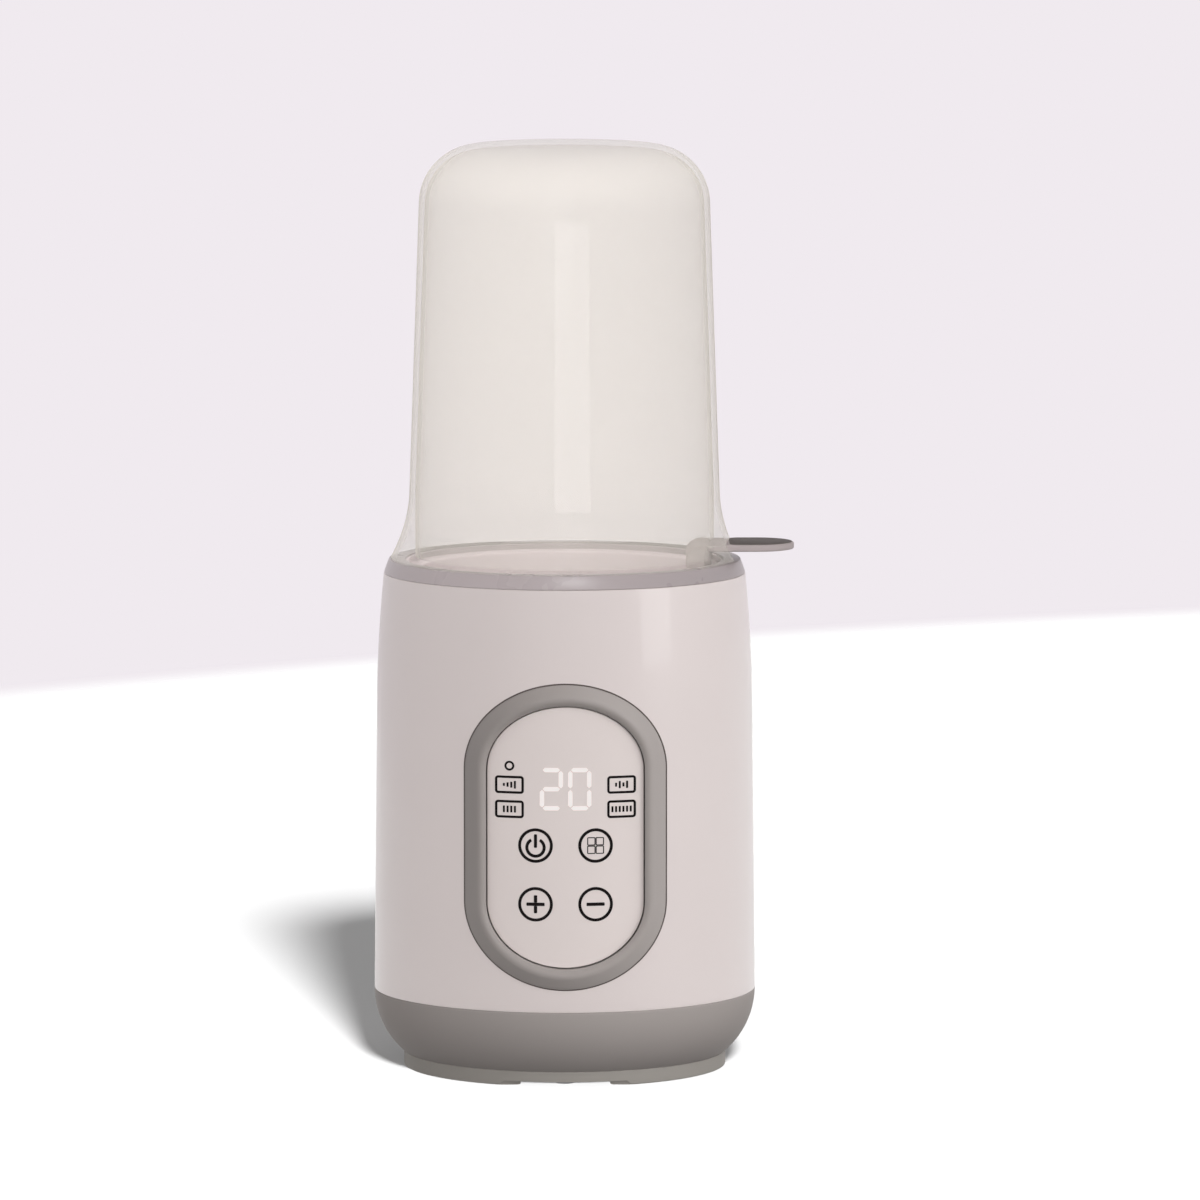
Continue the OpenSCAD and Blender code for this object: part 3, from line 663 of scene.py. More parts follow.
def make_basket():
    """Lift-out basket: drained tray on three feet, strap, saddle and tab."""
    rim_z = TRAY_Z + TRAY_T + TRAY_RIM_H
    in_r = TRAY_R - 2
    piece = lathe("basket", [
        (0, TRAY_Z), (TRAY_R, TRAY_Z, 0.8), (TRAY_R, rim_z, 0.6), (in_r, rim_z, 0.6),
        (in_r, TRAY_Z + TRAY_T, 1.2), (0, TRAY_Z + TRAY_T)])
    holes = [(0, 0)]
    holes += [on_circle(angle, INNER_DRAINS_AT) for angle in range(0, 360, 60)]
    holes += [on_circle(angle, OUTER_DRAINS_AT) for angle in range(15, 360, 30)]
    carve(piece, joined("drains", [
        post("drain", x, y, TRAY_Z - 1, TRAY_Z + TRAY_T + 1, DRAIN_R, 32) for x, y in holes]))
    stands = [on_circle(angle, in_r - TRAY_FOOT_R) for angle in (45, 165, 285)]
    feet = joined("feet", [post("foot", x, y, FLOOR_Z, TRAY_Z + SINK, TRAY_FOOT_R, 32) for x, y in stands])
    round_edges(feet, 0.5, 2)
    carve(piece, feet, "UNION")
    strap = make_strap()
    carve(strap, make_tab(), "UNION")
    carve(piece, strap, "UNION")
    return piece


def make_bezel():
    """Raised frame round the panel: rounded crest, stem through the window and a shelf behind the panel."""
    back_inset = BEZEL_BAND + SHELF_W
    section = soften([
        (STEM_INSET, SHADE_LINE_T), (0, SHADE_LINE_T, 0.1), (0, BEZEL_EDGE_H, 0.25), (CREST_INSET, CREST_H, CREST_ROUND),
        (BEZEL_BAND, BEZEL_INNER_H, 0.25), (BEZEL_BAND, PANEL_BACK), (back_inset, PANEL_BACK),
        (back_inset, SHELF_BACK), (STEM_INSET, SHELF_BACK)])
    return pill_frame("bezel", section)


def make_shade_line():
    """Thin dark strip between the bezel and the body, which paints the shade line round the bezel."""
    return pill_frame("bezel_shade_line", [
        (STEM_INSET, SHADE_LINE_FOOT_H), (-SHADE_LINE_OUT, SHADE_LINE_FOOT_H), (-SHADE_LINE_OUT, SHADE_LINE_EDGE_H), (0, SHADE_LINE_TOP_H),
        (STEM_INSET, SHADE_LINE_TOP_H)])


def pill_frame(name, section):
    """Closed frame in the bezel's outline, from a section of insets and heights above the body."""
    piece = pill_loop(name, section[0][0])
    rings = [picked(piece)]
    for (inset, _), (next_inset, _) in zip(section, section[1:]):
        bpy.ops.mesh.extrude_region_move(TRANSFORM_OT_translate={"value": (0, 0, 0)})
        ring = picked(piece)
        narrow = (BEZEL_HALF_W - next_inset) / (BEZEL_HALF_W - inset)
        flatten = (BEZEL_END - next_inset) / (BEZEL_END - inset)
        bpy.ops.transform.resize(value=(narrow, 1, 1), center_override=(0, 0, 0))
        for side in (1, -1):
            end_z = PANEL_Z + side * BEZEL_STRAIGHT
            pick(piece, lambda index, place: index in ring and side * (place.z - PANEL_Z) > 0)
            bpy.ops.transform.resize(value=(1, 1, flatten), center_override=(0, 0, end_z * MM))
        pick(piece, lambda index, place: index in ring)
        rings.append(ring)
    first_and_last = rings[0] | rings[-1]
    pick(piece, lambda index, place: index in first_and_last)
    bpy.ops.mesh.bridge_edge_loops()
    close()
    lay_on_body(piece, 0)
    edit(piece)
    for ring, (_, lift) in zip(rings, section):
        pick(piece, lambda index, place: index in ring)
        bpy.ops.transform.translate(value=(0, -lift * MM, 0))
    close()
    clean(piece)
    return piece


def make_panel():
    """Touch panel, curved with the body."""
    low = PANEL_Z - BEZEL_HALF_H
    high = PANEL_Z + BEZEL_HALF_H
    outline = body_line(low, high, PANEL_OUT) + body_line(low, high, PANEL_BACK)[::-1]
    piece = lathe_part("panel_face", outline, -90, PANEL_HALF_TURN, 56)
    carve(piece, pill_bar("panel_edge", BEZEL_BAND + PANEL_GAP), "INTERSECT")
    return piece


# Printed marks, drawn flat in front of the panel and then laid on it

def flat_plate(u, v, width, height, rounding, segments=5):
    """Flat plate about (u, v) in the panel's front view, with rounded corners. Left open in edit mode."""
    bpy.ops.object.select_all(action="DESELECT")
    bpy.ops.mesh.primitive_plane_add(size=1, rotation=(RIGHT_ANGLE, 0, 0))
    bpy.ops.object.transform_apply(location=False, rotation=True, scale=False)
    piece = named("mark")
    edit(piece)
    bpy.ops.mesh.select_all(action="SELECT")
    bpy.ops.transform.resize(value=(width * MM, 1, height * MM))
    bpy.ops.mesh.bevel(offset=rounding * MM, segments=segments, affect="VERTICES", clamp_overlap=True)
    bpy.ops.mesh.select_all(action="SELECT")
    bpy.ops.transform.translate(value=Vector((u, IN_FRONT_Y, v)) * MM)
    return piece


def solid_mark(u, v, width, height, rounding, segments=5):
    """Filled bar."""
    piece = flat_plate(u, v, width, height, rounding, segments)
    close()
    return piece


def frame_mark(u, v, width, height, rounding, stroke):
    """Outlined box."""
    piece = flat_plate(u, v, width, height, rounding)
    bpy.ops.mesh.inset(thickness=stroke * MM, use_even_offset=True)
    bpy.ops.mesh.delete(type="FACE")
    close()
    return piece


def arc_mark(u, v, outer_r, stroke, gap=0.0, steps=64):
    """Ring, or a ring with a gap at the top whose half angle is given in degrees."""
    start = math.radians(90 + gap)
    outwards = Vector((math.cos(start), 0, math.sin(start)))
    inner = outwards * (outer_r - stroke) * MM
    outer = outwards * outer_r * MM
    piece = start_point("mark", inner)
    bpy.ops.mesh.extrude_vertices_move(TRANSFORM_OT_translate={"value": outer - inner})
    bpy.ops.mesh.select_all(action="SELECT")
    bpy.ops.mesh.spin(
        steps=steps, angle=math.radians(360 - 2 * gap), center=(0, 0, 0), axis=(0, 1, 0))
    bpy.ops.mesh.select_all(action="SELECT")
    bpy.ops.mesh.remove_doubles(threshold=MERGE)
    if gap:
        count = len(bmesh.from_edit_mesh(piece.data).verts)
        pick(piece, lambda index, place: index in (0, 1, count - 2, count - 1))
        bpy.ops.mesh.bevel(offset=stroke * 0.48 * MM, segments=4, affect="VERTICES")
        bpy.ops.mesh.select_all(action="SELECT")
    bpy.ops.transform.translate(value=Vector((u, IN_FRONT_Y, v)) * MM)
    close()
    return piece


MARK_LIFT = 0.05
MARK_T = 0.06
STRIP = 1.5


def lay_marks(name, marks):
    """Joins flat marks, cuts them into narrow strips, lays them on the panel and gives them a thickness."""
    piece = joined(name, marks)
    edit(piece)
    count = int(2 * BEZEL_HALF_W / STRIP)
    for i in range(count + 1):
        bpy.ops.mesh.select_all(action="SELECT")
        bpy.ops.mesh.bisect(plane_co=((i * STRIP - BEZEL_HALF_W) * MM, 0, 0), plane_no=(1, 0, 0))
    close()
    lay_on_body(piece, PANEL_OUT + MARK_LIFT)
    face_front(piece)
    modifier = piece.modifiers.new("thickness", "SOLIDIFY")
    modifier.thickness = MARK_T * MM
    modifier.offset = -1
    apply(piece, modifier)
    return piece


def face_front(piece):
    """Turns each face of a laid mark towards the front."""
    edit(piece)
    bpy.ops.mesh.select_mode(type="FACE")
    mesh = bmesh.from_edit_mesh(piece.data)
    mesh.normal_update()
    for face in mesh.faces:
        face.select = face.normal.y > 0
    bmesh.update_edit_mesh(piece.data)
    if any(face.select for face in mesh.faces):
        bpy.ops.mesh.flip_normals()
    close()


KEY_X = 9
KEY_R = 5.2
KEY_STROKE = 0.9
KEY_Z = (74.55, 56.85)
BOX_X = 16.8
BOX_Z = (92.7, 85.35)
BOX_W = 8.65
BOX_H = 5.35
BOX_STROKE = 0.72
BOX_ROUND = 0.95
STATUS_Z = 98.4
STATUS_R = 1.48
STATUS_STROKE = 0.62
LEVEL_W = 0.6
LEVEL_PITCH = 1.1
POWER_R = 3.05
POWER_DROP = 0.6
POWER_STROKE = 0.92
POWER_GAP = 29
POWER_BAR_H = 4.1
POWER_BAR_RISE = 1.36
SIGN_W = 5.45
SIGN_STROKE = 1.02
SIGN_ARM = 2.2
SIGN_ARM_AT = 1.62
SIGN_ROUND = 0.25
GRID_SIDE = 2.5
GRID_APART = 1.02


def level_marks(u, v, heights):
    """Row of plain upright bars, centred in a box."""
    first = u - LEVEL_PITCH * (len(heights) - 1) / 2
    return [solid_mark(first + i * LEVEL_PITCH, v, LEVEL_W, h, 0.1, 2) for i, h in enumerate(heights)]


def make_print():
    """Printed marks: four keys, four boxes with plain bars and the status ring."""
    high_z, low_z = KEY_Z
    marks = [arc_mark(x, z, KEY_R, KEY_STROKE, steps=96) for x in (-KEY_X, KEY_X) for z in KEY_Z]
    marks.append(arc_mark(-KEY_X, high_z - POWER_DROP, POWER_R, POWER_STROKE, POWER_GAP))
    marks.append(solid_mark(-KEY_X, high_z + POWER_BAR_RISE, POWER_STROKE, POWER_BAR_H, 0.3))
    marks += grid_marks(KEY_X, high_z)
    marks += [solid_mark(x, low_z, SIGN_W, SIGN_STROKE, SIGN_ROUND) for x in (-KEY_X, KEY_X)]
    for side in (1, -1):
        arm_z = low_z + side * SIGN_ARM_AT
        marks.append(solid_mark(-KEY_X, arm_z, SIGN_STROKE, SIGN_ARM, SIGN_ROUND))
    levels = {
        (-1, 0): (0.9, 1.35, 1.8, 2.3), (-1, 1): (2, 2, 2, 2),
        (1, 0): (1.2, 2.2, 1.2, 2.2), (1, 1): (1.8, 1.8, 1.8, 1.8, 1.8, 1.8)}
    for (side, row), heights in levels.items():
        marks.append(frame_mark(side * BOX_X, BOX_Z[row], BOX_W, BOX_H, BOX_ROUND, BOX_STROKE))
        marks += level_marks(side * BOX_X, BOX_Z[row], heights)
    marks.append(arc_mark(-BOX_X, STATUS_Z, STATUS_R, STATUS_STROKE, steps=40))
    return lay_marks("panel_print", marks)


def grid_marks(u, v):
    """Four small outlined squares, for choosing a programme."""
    reach = GRID_APART * GRID_SIDE / 2
    return [frame_mark(u + dx, v + dz, GRID_SIDE, GRID_SIDE, 0.35, 0.3)
            for dx in (-reach, reach) for dz in (-reach, reach)]


DIGIT_X = 4.25
DIGIT_Z = 91.6
DIGIT_W = 7
DIGIT_H = 12.85
SEGMENT_T = 1.35
SEGMENT_GAP = 0.3
SEGMENT_TIP = 0.567


def make_digits():
    """Two lit seven-segment digits, a 2 and a 0."""
    across = DIGIT_W - SEGMENT_T - 2 * SEGMENT_GAP
    along = (DIGIT_H - SEGMENT_T) / 2 - 2 * SEGMENT_GAP
    reach_x = (DIGIT_W - SEGMENT_T) / 2
    reach_z = (DIGIT_H - SEGMENT_T) / 2
    flat = (across, SEGMENT_T)
    upright = (SEGMENT_T, along)
    segments = {
        "top": (0, reach_z, *flat),
        "mid": (0, 0, *flat),
        "low": (0, -reach_z, *flat),
        "left_top": (-reach_x, reach_z / 2, *upright),
        "right_top": (reach_x, reach_z / 2, *upright),
        "left_low": (-reach_x, -reach_z / 2, *upright),
        "right_low": (reach_x, -reach_z / 2, *upright)}
    lit = {
        -1: ("top", "right_top", "mid", "left_low", "low"),
        1: ("top", "left_top", "right_top", "left_low", "right_low", "low")}
    marks = []
    for side, names in lit.items():
        for name in names:
            u, v, width, height = segments[name]
            marks.append(solid_mark(side * DIGIT_X + u, DIGIT_Z + v, width, height, SEGMENT_TIP, 1))
    return lay_marks("panel_digits", marks)


def make_bowl():
    """Bowl under the body: curved wall, lip into the body, flange for the foot plate, pad for the cord."""
    inner_r = BOWL_R - WALL
    lip_in_r = BODY_R - WALL - FIT - LIP_T
    lip_out_r = BODY_R - WALL - FIT - BOWL_LIP_GAP
    lip_foot_z = SEAM_Z - BOWL_LIP_ROOT
    lip_top_z = SEAM_Z + BOWL_LIP_H
    flange_z = FOOT_H + WALL
    end = math.degrees(math.asin((SEAM_Z - FOOT_H) / BOWL_R))
    inner_end = math.degrees(math.asin((SEAM_Z - flange_z) / inner_r))
    lip_start = math.degrees(math.asin((SEAM_Z - lip_foot_z) / inner_r))
    outer = arc(BOWL_MID_R, SEAM_Z, BOWL_R, 0, -end, 28)
    outline = [(*outer[0], SEAM_EDGE)] + outer[1:]
    outline += [(HATCH_R, FOOT_H), (HATCH_R, flange_z)]
    outline += arc(BOWL_MID_R, SEAM_Z, inner_r, -inner_end, -lip_start, 16)
    outline += [(lip_in_r, lip_foot_z), (lip_in_r, lip_top_z), (lip_out_r, lip_top_z), (lip_out_r, SEAM_Z)]
    piece = lathe("bowl", outline)
    pad = bar_y("pad", OUTLET_Z, BODY_R - OUTLET_PAD_T, BODY_R, OUTLET_PAD_R)
    round_edges(pad, 0.4)
    carve(piece, pad, "UNION")
    carve(piece, bar_y("outlet", OUTLET_Z, BOWL_MID_R, BODY_R + TOOL_REACH, OUTLET_SLEEVE_R + FIT))
    carve(piece, screw_holes(FOOT_H, flange_z))
    return piece


def screw_holes(low, high):
    """Tool for the holes of the three long screws through a wall between two heights."""
    places = [on_circle(angle, POST_AT) for angle in POST_ANGLES]
    return joined("holes", [post("hole", x, y, low - 1, high + 1, SCREW_R + FIT) for x, y in places])


def make_foot_plate():
    """Bottom plate with the foot ring, its three notches, the rubber ring's groove and the board's posts."""
    ring_in_r = FOOT_R - FOOT_T
    groove_z = BOTTOM_Z + GRIP_INSET
    piece = lathe("foot_plate", [
        (0, BOTTOM_Z), (GRIP_IN_R, BOTTOM_Z), (GRIP_IN_R, groove_z), (GRIP_OUT_R, groove_z),
        (GRIP_OUT_R, BOTTOM_Z), (ring_in_r, BOTTOM_Z), (ring_in_r, FOOT_LOW_Z, 0.4),
        (FOOT_R, FOOT_LOW_Z, 0.4), (FOOT_R, FOOT_H, EDGE), (0, FOOT_H)])
    carve(piece, joined("notches", [make_notch_tool(angle, ring_in_r) for angle in POST_ANGLES]))
    carve(piece, screw_holes(BOTTOM_Z, FOOT_H))
    places = [(x, y) for x in (-BOARD_POST_X, BOARD_POST_X) for y in (-BOARD_POST_Y, BOARD_POST_Y)]
    top_z = FOOT_H + BOARD_POST_H
    carve(piece, bored_posts(
        "legs", places, SCREW_HEAD_R, FOOT_H - SINK, top_z, FOOT_H + SINK, top_z + 1), "UNION")
    return piece


def make_notch_tool(angle, ring_in_r):
    """Tool with slanted ends for one notch in the foot ring."""
    below = 2
    tool = block(
        "notch", (ring_in_r - 2, -NOTCH_HALF_W, FOOT_LOW_Z - below),
        (FOOT_R + 4, NOTCH_HALF_W, FOOT_LOW_Z + NOTCH_H))
    edit(tool)
    pick(tool, lambda index, place: place.z < FOOT_LOW_Z)
    widen = 1 + NOTCH_SLANT * (NOTCH_H + below) / NOTCH_H / NOTCH_HALF_W
    bpy.ops.transform.resize(value=(1, widen, 1), center_override=(0, 0, 0))
    close()
    tool.rotation_euler.z = math.radians(angle)
    activate(tool)
    bpy.ops.object.transform_apply(location=False, rotation=True, scale=False)
    return tool


def make_grip_ring():
    """Rubber ring that the object stands on."""
    top_z = BOTTOM_Z + GRIP_INSET
    outer = GRIP_OUT_R - FIT
    inner = GRIP_IN_R + FIT
    return lathe("grip_ring", [(outer, 0, 0.7), (outer, top_z), (inner, top_z), (inner, 0, 0.7)])


def make_bush():
    """Bush in the rear of the base, which the mains cord would pass through."""
    piece = lathe("outlet_bush", [
        (OUTLET_R, 0, 0.4), (OUTLET_SLEEVE_R, 0, 0.5), (OUTLET_SLEEVE_R, OUTLET_LENGTH),
        (OUTLET_FLANGE_R, OUTLET_LENGTH), (OUTLET_FLANGE_R, OUTLET_LENGTH + OUTLET_FLANGE_T, 0.6),
        (OUTLET_R, OUTLET_LENGTH + OUTLET_FLANGE_T, 0.6)], 72)
    place = Matrix.Translation(Vector((0, BODY_R - OUTLET_LENGTH, OUTLET_Z)) * MM)
    piece.matrix_world = place @ Matrix.Rotation(-RIGHT_ANGLE, 4, "X")
    activate(piece)
    bpy.ops.object.transform_apply(location=True, rotation=True, scale=False)
    return piece


# Shared effects

def new_group(name, inputs, outputs):
    """Empty shader group with float or colour sockets."""
    group = bpy.data.node_groups.new(name, "ShaderNodeTree")
    kinds = {"float": "NodeSocketFloat", "colour": "NodeSocketColor"}
    for socket, kind in inputs:
        group.interface.new_socket(socket, in_out="INPUT", socket_type=kinds[kind])
    for socket, kind in outputs:
        group.interface.new_socket(socket, in_out="OUTPUT", socket_type=kinds[kind])
    return group, group.nodes.new("NodeGroupInput"), group.nodes.new("NodeGroupOutput")


def math_node(tree, operation, first, second):
    """Math node of two inputs, each a socket or a number."""
    node = tree.nodes.new("ShaderNodeMath")
    node.operation = operation
    for socket, value in zip(node.inputs, (first, second)):
        if isinstance(value, (int, float)):
            socket.default_value = value
        else:
            tree.links.new(value, socket)
    return node.outputs[0]


def noise_node(tree, place, scale, detail):
    """Noise about 0.5 at a place."""
    node = tree.nodes.new("ShaderNodeTexNoise")
    node.inputs["Detail"].default_value = detail
    tree.links.new(place, node.inputs["Vector"])
    if isinstance(scale, (int, float)):
        node.inputs["Scale"].default_value = scale
    else:
        tree.links.new(scale, node.inputs["Scale"])
    return node.outputs["Fac"]


def scaled_colour(tree, colour, factor):
    """Colour made lighter or darker by a factor."""
    node = tree.nodes.new("ShaderNodeVectorMath")
    node.operation = "SCALE"
    tree.links.new(colour, node.inputs[0])
    tree.links.new(factor, node.inputs["Scale"])
    return node.outputs[0]


def make_moulded_group():
    """Moulded surface: slight clouding of the colour, uneven gloss and a fine grain."""
    group, given, made = new_group(
        "moulded_surface",
        [("Colour", "colour"), ("Clouding", "float"), ("Roughness", "float"), ("Grain size", "float")],
        [("Colour", "colour"), ("Roughness", "float"), ("Height", "float")])
    place = group.nodes.new("ShaderNodeTexCoord").outputs["Object"]
    cloud = math_node(group, "SUBTRACT", noise_node(group, place, 26, 4), 0.5)
    light = math_node(group, "ADD", math_node(group, "MULTIPLY", cloud, given.outputs["Clouding"]), 1)
    group.links.new(scaled_colour(group, given.outputs["Colour"], light), made.inputs["Colour"])
    patch = math_node(group, "SUBTRACT", noise_node(group, place, 70, 3), 0.5)
    gloss = math_node(group, "ADD", given.outputs["Roughness"], math_node(group, "MULTIPLY", patch, 0.05))
    group.links.new(gloss, made.inputs["Roughness"])
    fineness = math_node(group, "DIVIDE", 1, given.outputs["Grain size"])
    group.links.new(noise_node(group, place, fineness, 2), made.inputs["Height"])
    return group


def make_turned_group():
    """Turned metal: fine rings about the Z axis, for brushed round plates."""
    group, given, made = new_group(
        "turned_metal",
        [("Colour", "colour"), ("Roughness", "float"), ("Ring width", "float")],
        [("Colour", "colour"), ("Roughness", "float"), ("Height", "float")])
    place = group.nodes.new("ShaderNodeTexCoord").outputs["Object"]
    parts = group.nodes.new("ShaderNodeSeparateXYZ")
    group.links.new(place, parts.inputs[0])
    square = math_node(
        group, "ADD", math_node(group, "MULTIPLY", parts.outputs["X"], parts.outputs["X"]),
        math_node(group, "MULTIPLY", parts.outputs["Y"], parts.outputs["Y"]))
    radius = math_node(group, "POWER", square, 0.5)
    line = group.nodes.new("ShaderNodeCombineXYZ")
    group.links.new(math_node(group, "DIVIDE", radius, given.outputs["Ring width"]), line.inputs["X"])
    rings = noise_node(group, line.outputs[0], 1, 3)
    light = math_node(group, "ADD", math_node(group, "MULTIPLY", rings, 0.3), 0.85)
    group.links.new(scaled_colour(group, given.outputs["Colour"], light), made.inputs["Colour"])
    gloss = math_node(group, "ADD", given.outputs["Roughness"], math_node(group, "MULTIPLY", rings, 0.15))
    group.links.new(gloss, made.inputs["Roughness"])
    group.links.new(rings, made.inputs["Height"])
    return group


MOULDED = make_moulded_group()
TURNED = make_turned_group()
GRAIN_STRENGTH = 0.4
RING_STRENGTH = 0.3
RING_DEPTH = 0.00001


def srgb(red, green, blue):
    """Linear colour of an sRGB colour from 0 to 255."""
    def linear(value):
        value /= 255
        return value / 12.92 if value <= 0.04045 else ((value + 0.055) / 1.055) ** 2.4

    return (linear(red), linear(green), linear(blue), 1)


def effect_material(name, effect, values, bump_strength, bump_depth):
    """Material whose colour, roughness and bump come from a shared effect. The depth is in metres."""
    material = bpy.data.materials.new(name)
    material.use_nodes = True
    tree = material.node_tree
    shader = tree.nodes["Principled BSDF"]
    group = tree.nodes.new("ShaderNodeGroup")
    group.node_tree = effect
    for socket, value in values.items():
        group.inputs[socket].default_value = value
    tree.links.new(group.outputs["Colour"], shader.inputs["Base Color"])
    tree.links.new(group.outputs["Roughness"], shader.inputs["Roughness"])
    if bump_depth:
        bump = tree.nodes.new("ShaderNodeBump")
        bump.inputs["Strength"].default_value = bump_strength
        bump.inputs["Distance"].default_value = bump_depth
        tree.links.new(group.outputs["Height"], bump.inputs["Height"])
        tree.links.new(bump.outputs["Normal"], shader.inputs["Normal"])
    return material


def moulded(name, colour, roughness, clouding=0.05, grain=0.0006, depth=0.000012, **fixed):
    """Moulded plastic or rubber. Fixed values go straight to the shader's sockets."""
    values = {"Colour": colour, "Clouding": clouding, "Roughness": roughness, "Grain size": grain}
    material = effect_material(name, MOULDED, values, GRAIN_STRENGTH, depth)
    shader = material.node_tree.nodes["Principled BSDF"]
    for socket, value in fixed.items():
        shader.inputs[socket.replace("_", " ")].default_value = value
    return material


def turned(name, colour, roughness, ring_width):
    """Brushed metal with fine rings."""
    values = {"Colour": colour, "Roughness": roughness, "Ring width": ring_width}
    material = effect_material(name, TURNED, values, RING_STRENGTH, RING_DEPTH)
    material.node_tree.nodes["Principled BSDF"].inputs["Metallic"].default_value = 1
    return material


EDGE_FALLOFF = 6
LEVEL_FALLOFF = 4
GLOSS_FALLOFF = 2


def clear(name, colour, haze, edge_haze, gloss):
    """Milky clear plastic, denser and duller where a wall is seen edge on."""
    material = moulded(
        name, colour, 0.1, clouding=0.02, depth=0.0, Specular_IOR_Level=0.0, Coat_Roughness=0.05)
    tree = material.node_tree
    shader = tree.nodes["Principled BSDF"]
    facing = tree.nodes.new("ShaderNodeLayerWeight").outputs["Facing"]
    parts = tree.nodes.new("ShaderNodeSeparateXYZ")
    tree.links.new(tree.nodes.new("ShaderNodeNewGeometry").outputs["Normal"], parts.inputs[0])
    level = math_node(tree, "POWER", math_node(tree, "ABSOLUTE", parts.outputs["Z"], 0), LEVEL_FALLOFF)
    upright = math_node(tree, "SUBTRACT", 1, level)
    edge = math_node(tree, "MULTIPLY", math_node(tree, "POWER", facing, EDGE_FALLOFF), upright)
    dense = math_node(tree, "ADD", math_node(tree, "MULTIPLY", edge, edge_haze - haze), haze)
    tree.links.new(dense, shader.inputs["Alpha"])
    dull = math_node(tree, "SUBTRACT", 1, math_node(tree, "POWER", facing, GLOSS_FALLOFF))
    tree.links.new(math_node(tree, "MULTIPLY", dull, gloss), shader.inputs["Coat Weight"])
    return material


MILKY = srgb(224, 219, 209)
CLEAR_FINISHES = {
    "clear_plastic": dict(colour=MILKY, haze=0.24, edge_haze=0.9, gloss=1.0),
    "clear_groove": dict(colour=MILKY, haze=0.01, edge_haze=0.04, gloss=0.1)}
TURNED_FINISHES = {
    "stainless_steel": dict(colour=(0.62, 0.62, 0.63, 1), roughness=0.24, ring_width=0.0004),
    "zinc_steel": dict(colour=(0.55, 0.55, 0.53, 1), roughness=0.34, ring_width=0.0003)}
MOULDED_FINISHES = {
    "pearl_plastic": dict(
        colour=srgb(214, 204, 202), roughness=0.38, Coat_Weight=0.35, Coat_Roughness=0.06),
    "rim_grey_plastic": dict(
        colour=srgb(171, 161, 162), roughness=0.28, clouding=0.02, depth=0.000004, Specular_IOR_Level=0.5),
    "bezel_grey_plastic": dict(colour=srgb(138, 132, 129), roughness=0.36, Specular_IOR_Level=0.3),
    "base_grey_plastic": dict(colour=srgb(150, 144, 141), roughness=0.5, Specular_IOR_Level=0.02),
    "foot_grey_plastic": dict(colour=srgb(142, 138, 133), roughness=0.5, Specular_IOR_Level=0.03),
    "dark_grey_plastic": dict(colour=srgb(192, 181, 181), roughness=0.5, Specular_IOR_Level=0.1),
    "panel_plastic": dict(colour=srgb(220, 210, 207), roughness=0.36, grain=0.0004),
    "deck_pearl": dict(colour=srgb(214, 199, 203), roughness=0.4),
    # Painted shade: dark colour of the pad on the tab's top.
    "tab_top_shade": dict(
        colour=srgb(112, 106, 103), roughness=0.6, clouding=0.12, depth=0.00003, Specular_IOR_Level=0.05),
    # Painted shade: dark colour of the line round the bezel.
    "painted_shade_line": dict(colour=srgb(100, 92, 89), roughness=0.6, Specular_IOR_Level=0.1),
    "ink": dict(colour=srgb(18, 12, 12), roughness=0.5, Specular_IOR_Level=0.1),
    "lit_digits": dict(
        colour=srgb(240, 233, 231), roughness=0.5, Specular_IOR_Level=0.1,
        Emission_Color=srgb(255, 248, 246), Emission_Strength=0.2),
    "red_silicone": dict(colour=(0.45, 0.05, 0.035, 1), roughness=0.55),
    "black_rubber": dict(colour=(0.016, 0.016, 0.017, 1), roughness=0.68, clouding=0.3, depth=0.00003),
    "black_plastic": dict(colour=(0.014, 0.014, 0.015, 1), roughness=0.4, clouding=0.2),
    "white_plastic": dict(colour=(0.76, 0.76, 0.73, 1), roughness=0.42),
    "yellow_plastic": dict(colour=(0.64, 0.47, 0.08, 1), roughness=0.42),
    "blue_plastic": dict(colour=(0.02, 0.08, 0.34, 1), roughness=0.36),
    "green_plastic": dict(colour=(0.04, 0.2, 0.08, 1), roughness=0.4),
    "circuit_board": dict(colour=(0.012, 0.1, 0.04, 1), roughness=0.3, clouding=0.5)}


def make_finishes():
    """One material for each finish, under the record's slot names where it has one."""
    finishes = {}
    for maker, kinds in ((clear, CLEAR_FINISHES), (turned, TURNED_FINISHES), (moulded, MOULDED_FINISHES)):
        finishes.update({name: maker(name, **values) for name, values in kinds.items()})
    return finishes


# Dressing

FINISHES = make_finishes()
for part in frame["record"]["subparts"]:
    cad_mesh = frame["nodes"][part["node"]].data
    cad_mesh.materials.clear()
    cad_mesh.materials.append(FINISHES[part["material_slot"]])


def dress(piece, body, slot, finish, *nodes):
    """Gives a piece its finish, the body that it moves with and the nodes that it stands for. The slot is
    not used.
    """
    smooth(piece)
    piece.data.materials.clear()
    piece.data.materials.append(FINISHES[finish])
    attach(piece, body)
    if nodes:
        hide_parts(*nodes)
    return piece


cover = dress(make_cover(), "cover", "clear_plastic", "clear_plastic", "dome_cover")
clear_groove(cover)
basket = dress(make_basket(), "basket", "dark_grey_plastic", "dark_grey_plastic", "lift_basket")
# Dark pad of painted shade on the tab's top.
dress(make_tab_shade_pad(), "basket", "black_rubber", "tab_top_shade")
rim = dress(make_rim(), "warmer", "rim_grey_plastic", "rim_grey_plastic", "rim_ring")
barrel = dress(make_barrel(), "warmer", "pearl_plastic", "pearl_plastic", "body_shell")
well = dress(make_well(), "warmer", "pearl_plastic", "deck_pearl", "water_tank")
bezel = dress(make_bezel(), "warmer", "bezel_grey_plastic", "bezel_grey_plastic", "panel_bezel")
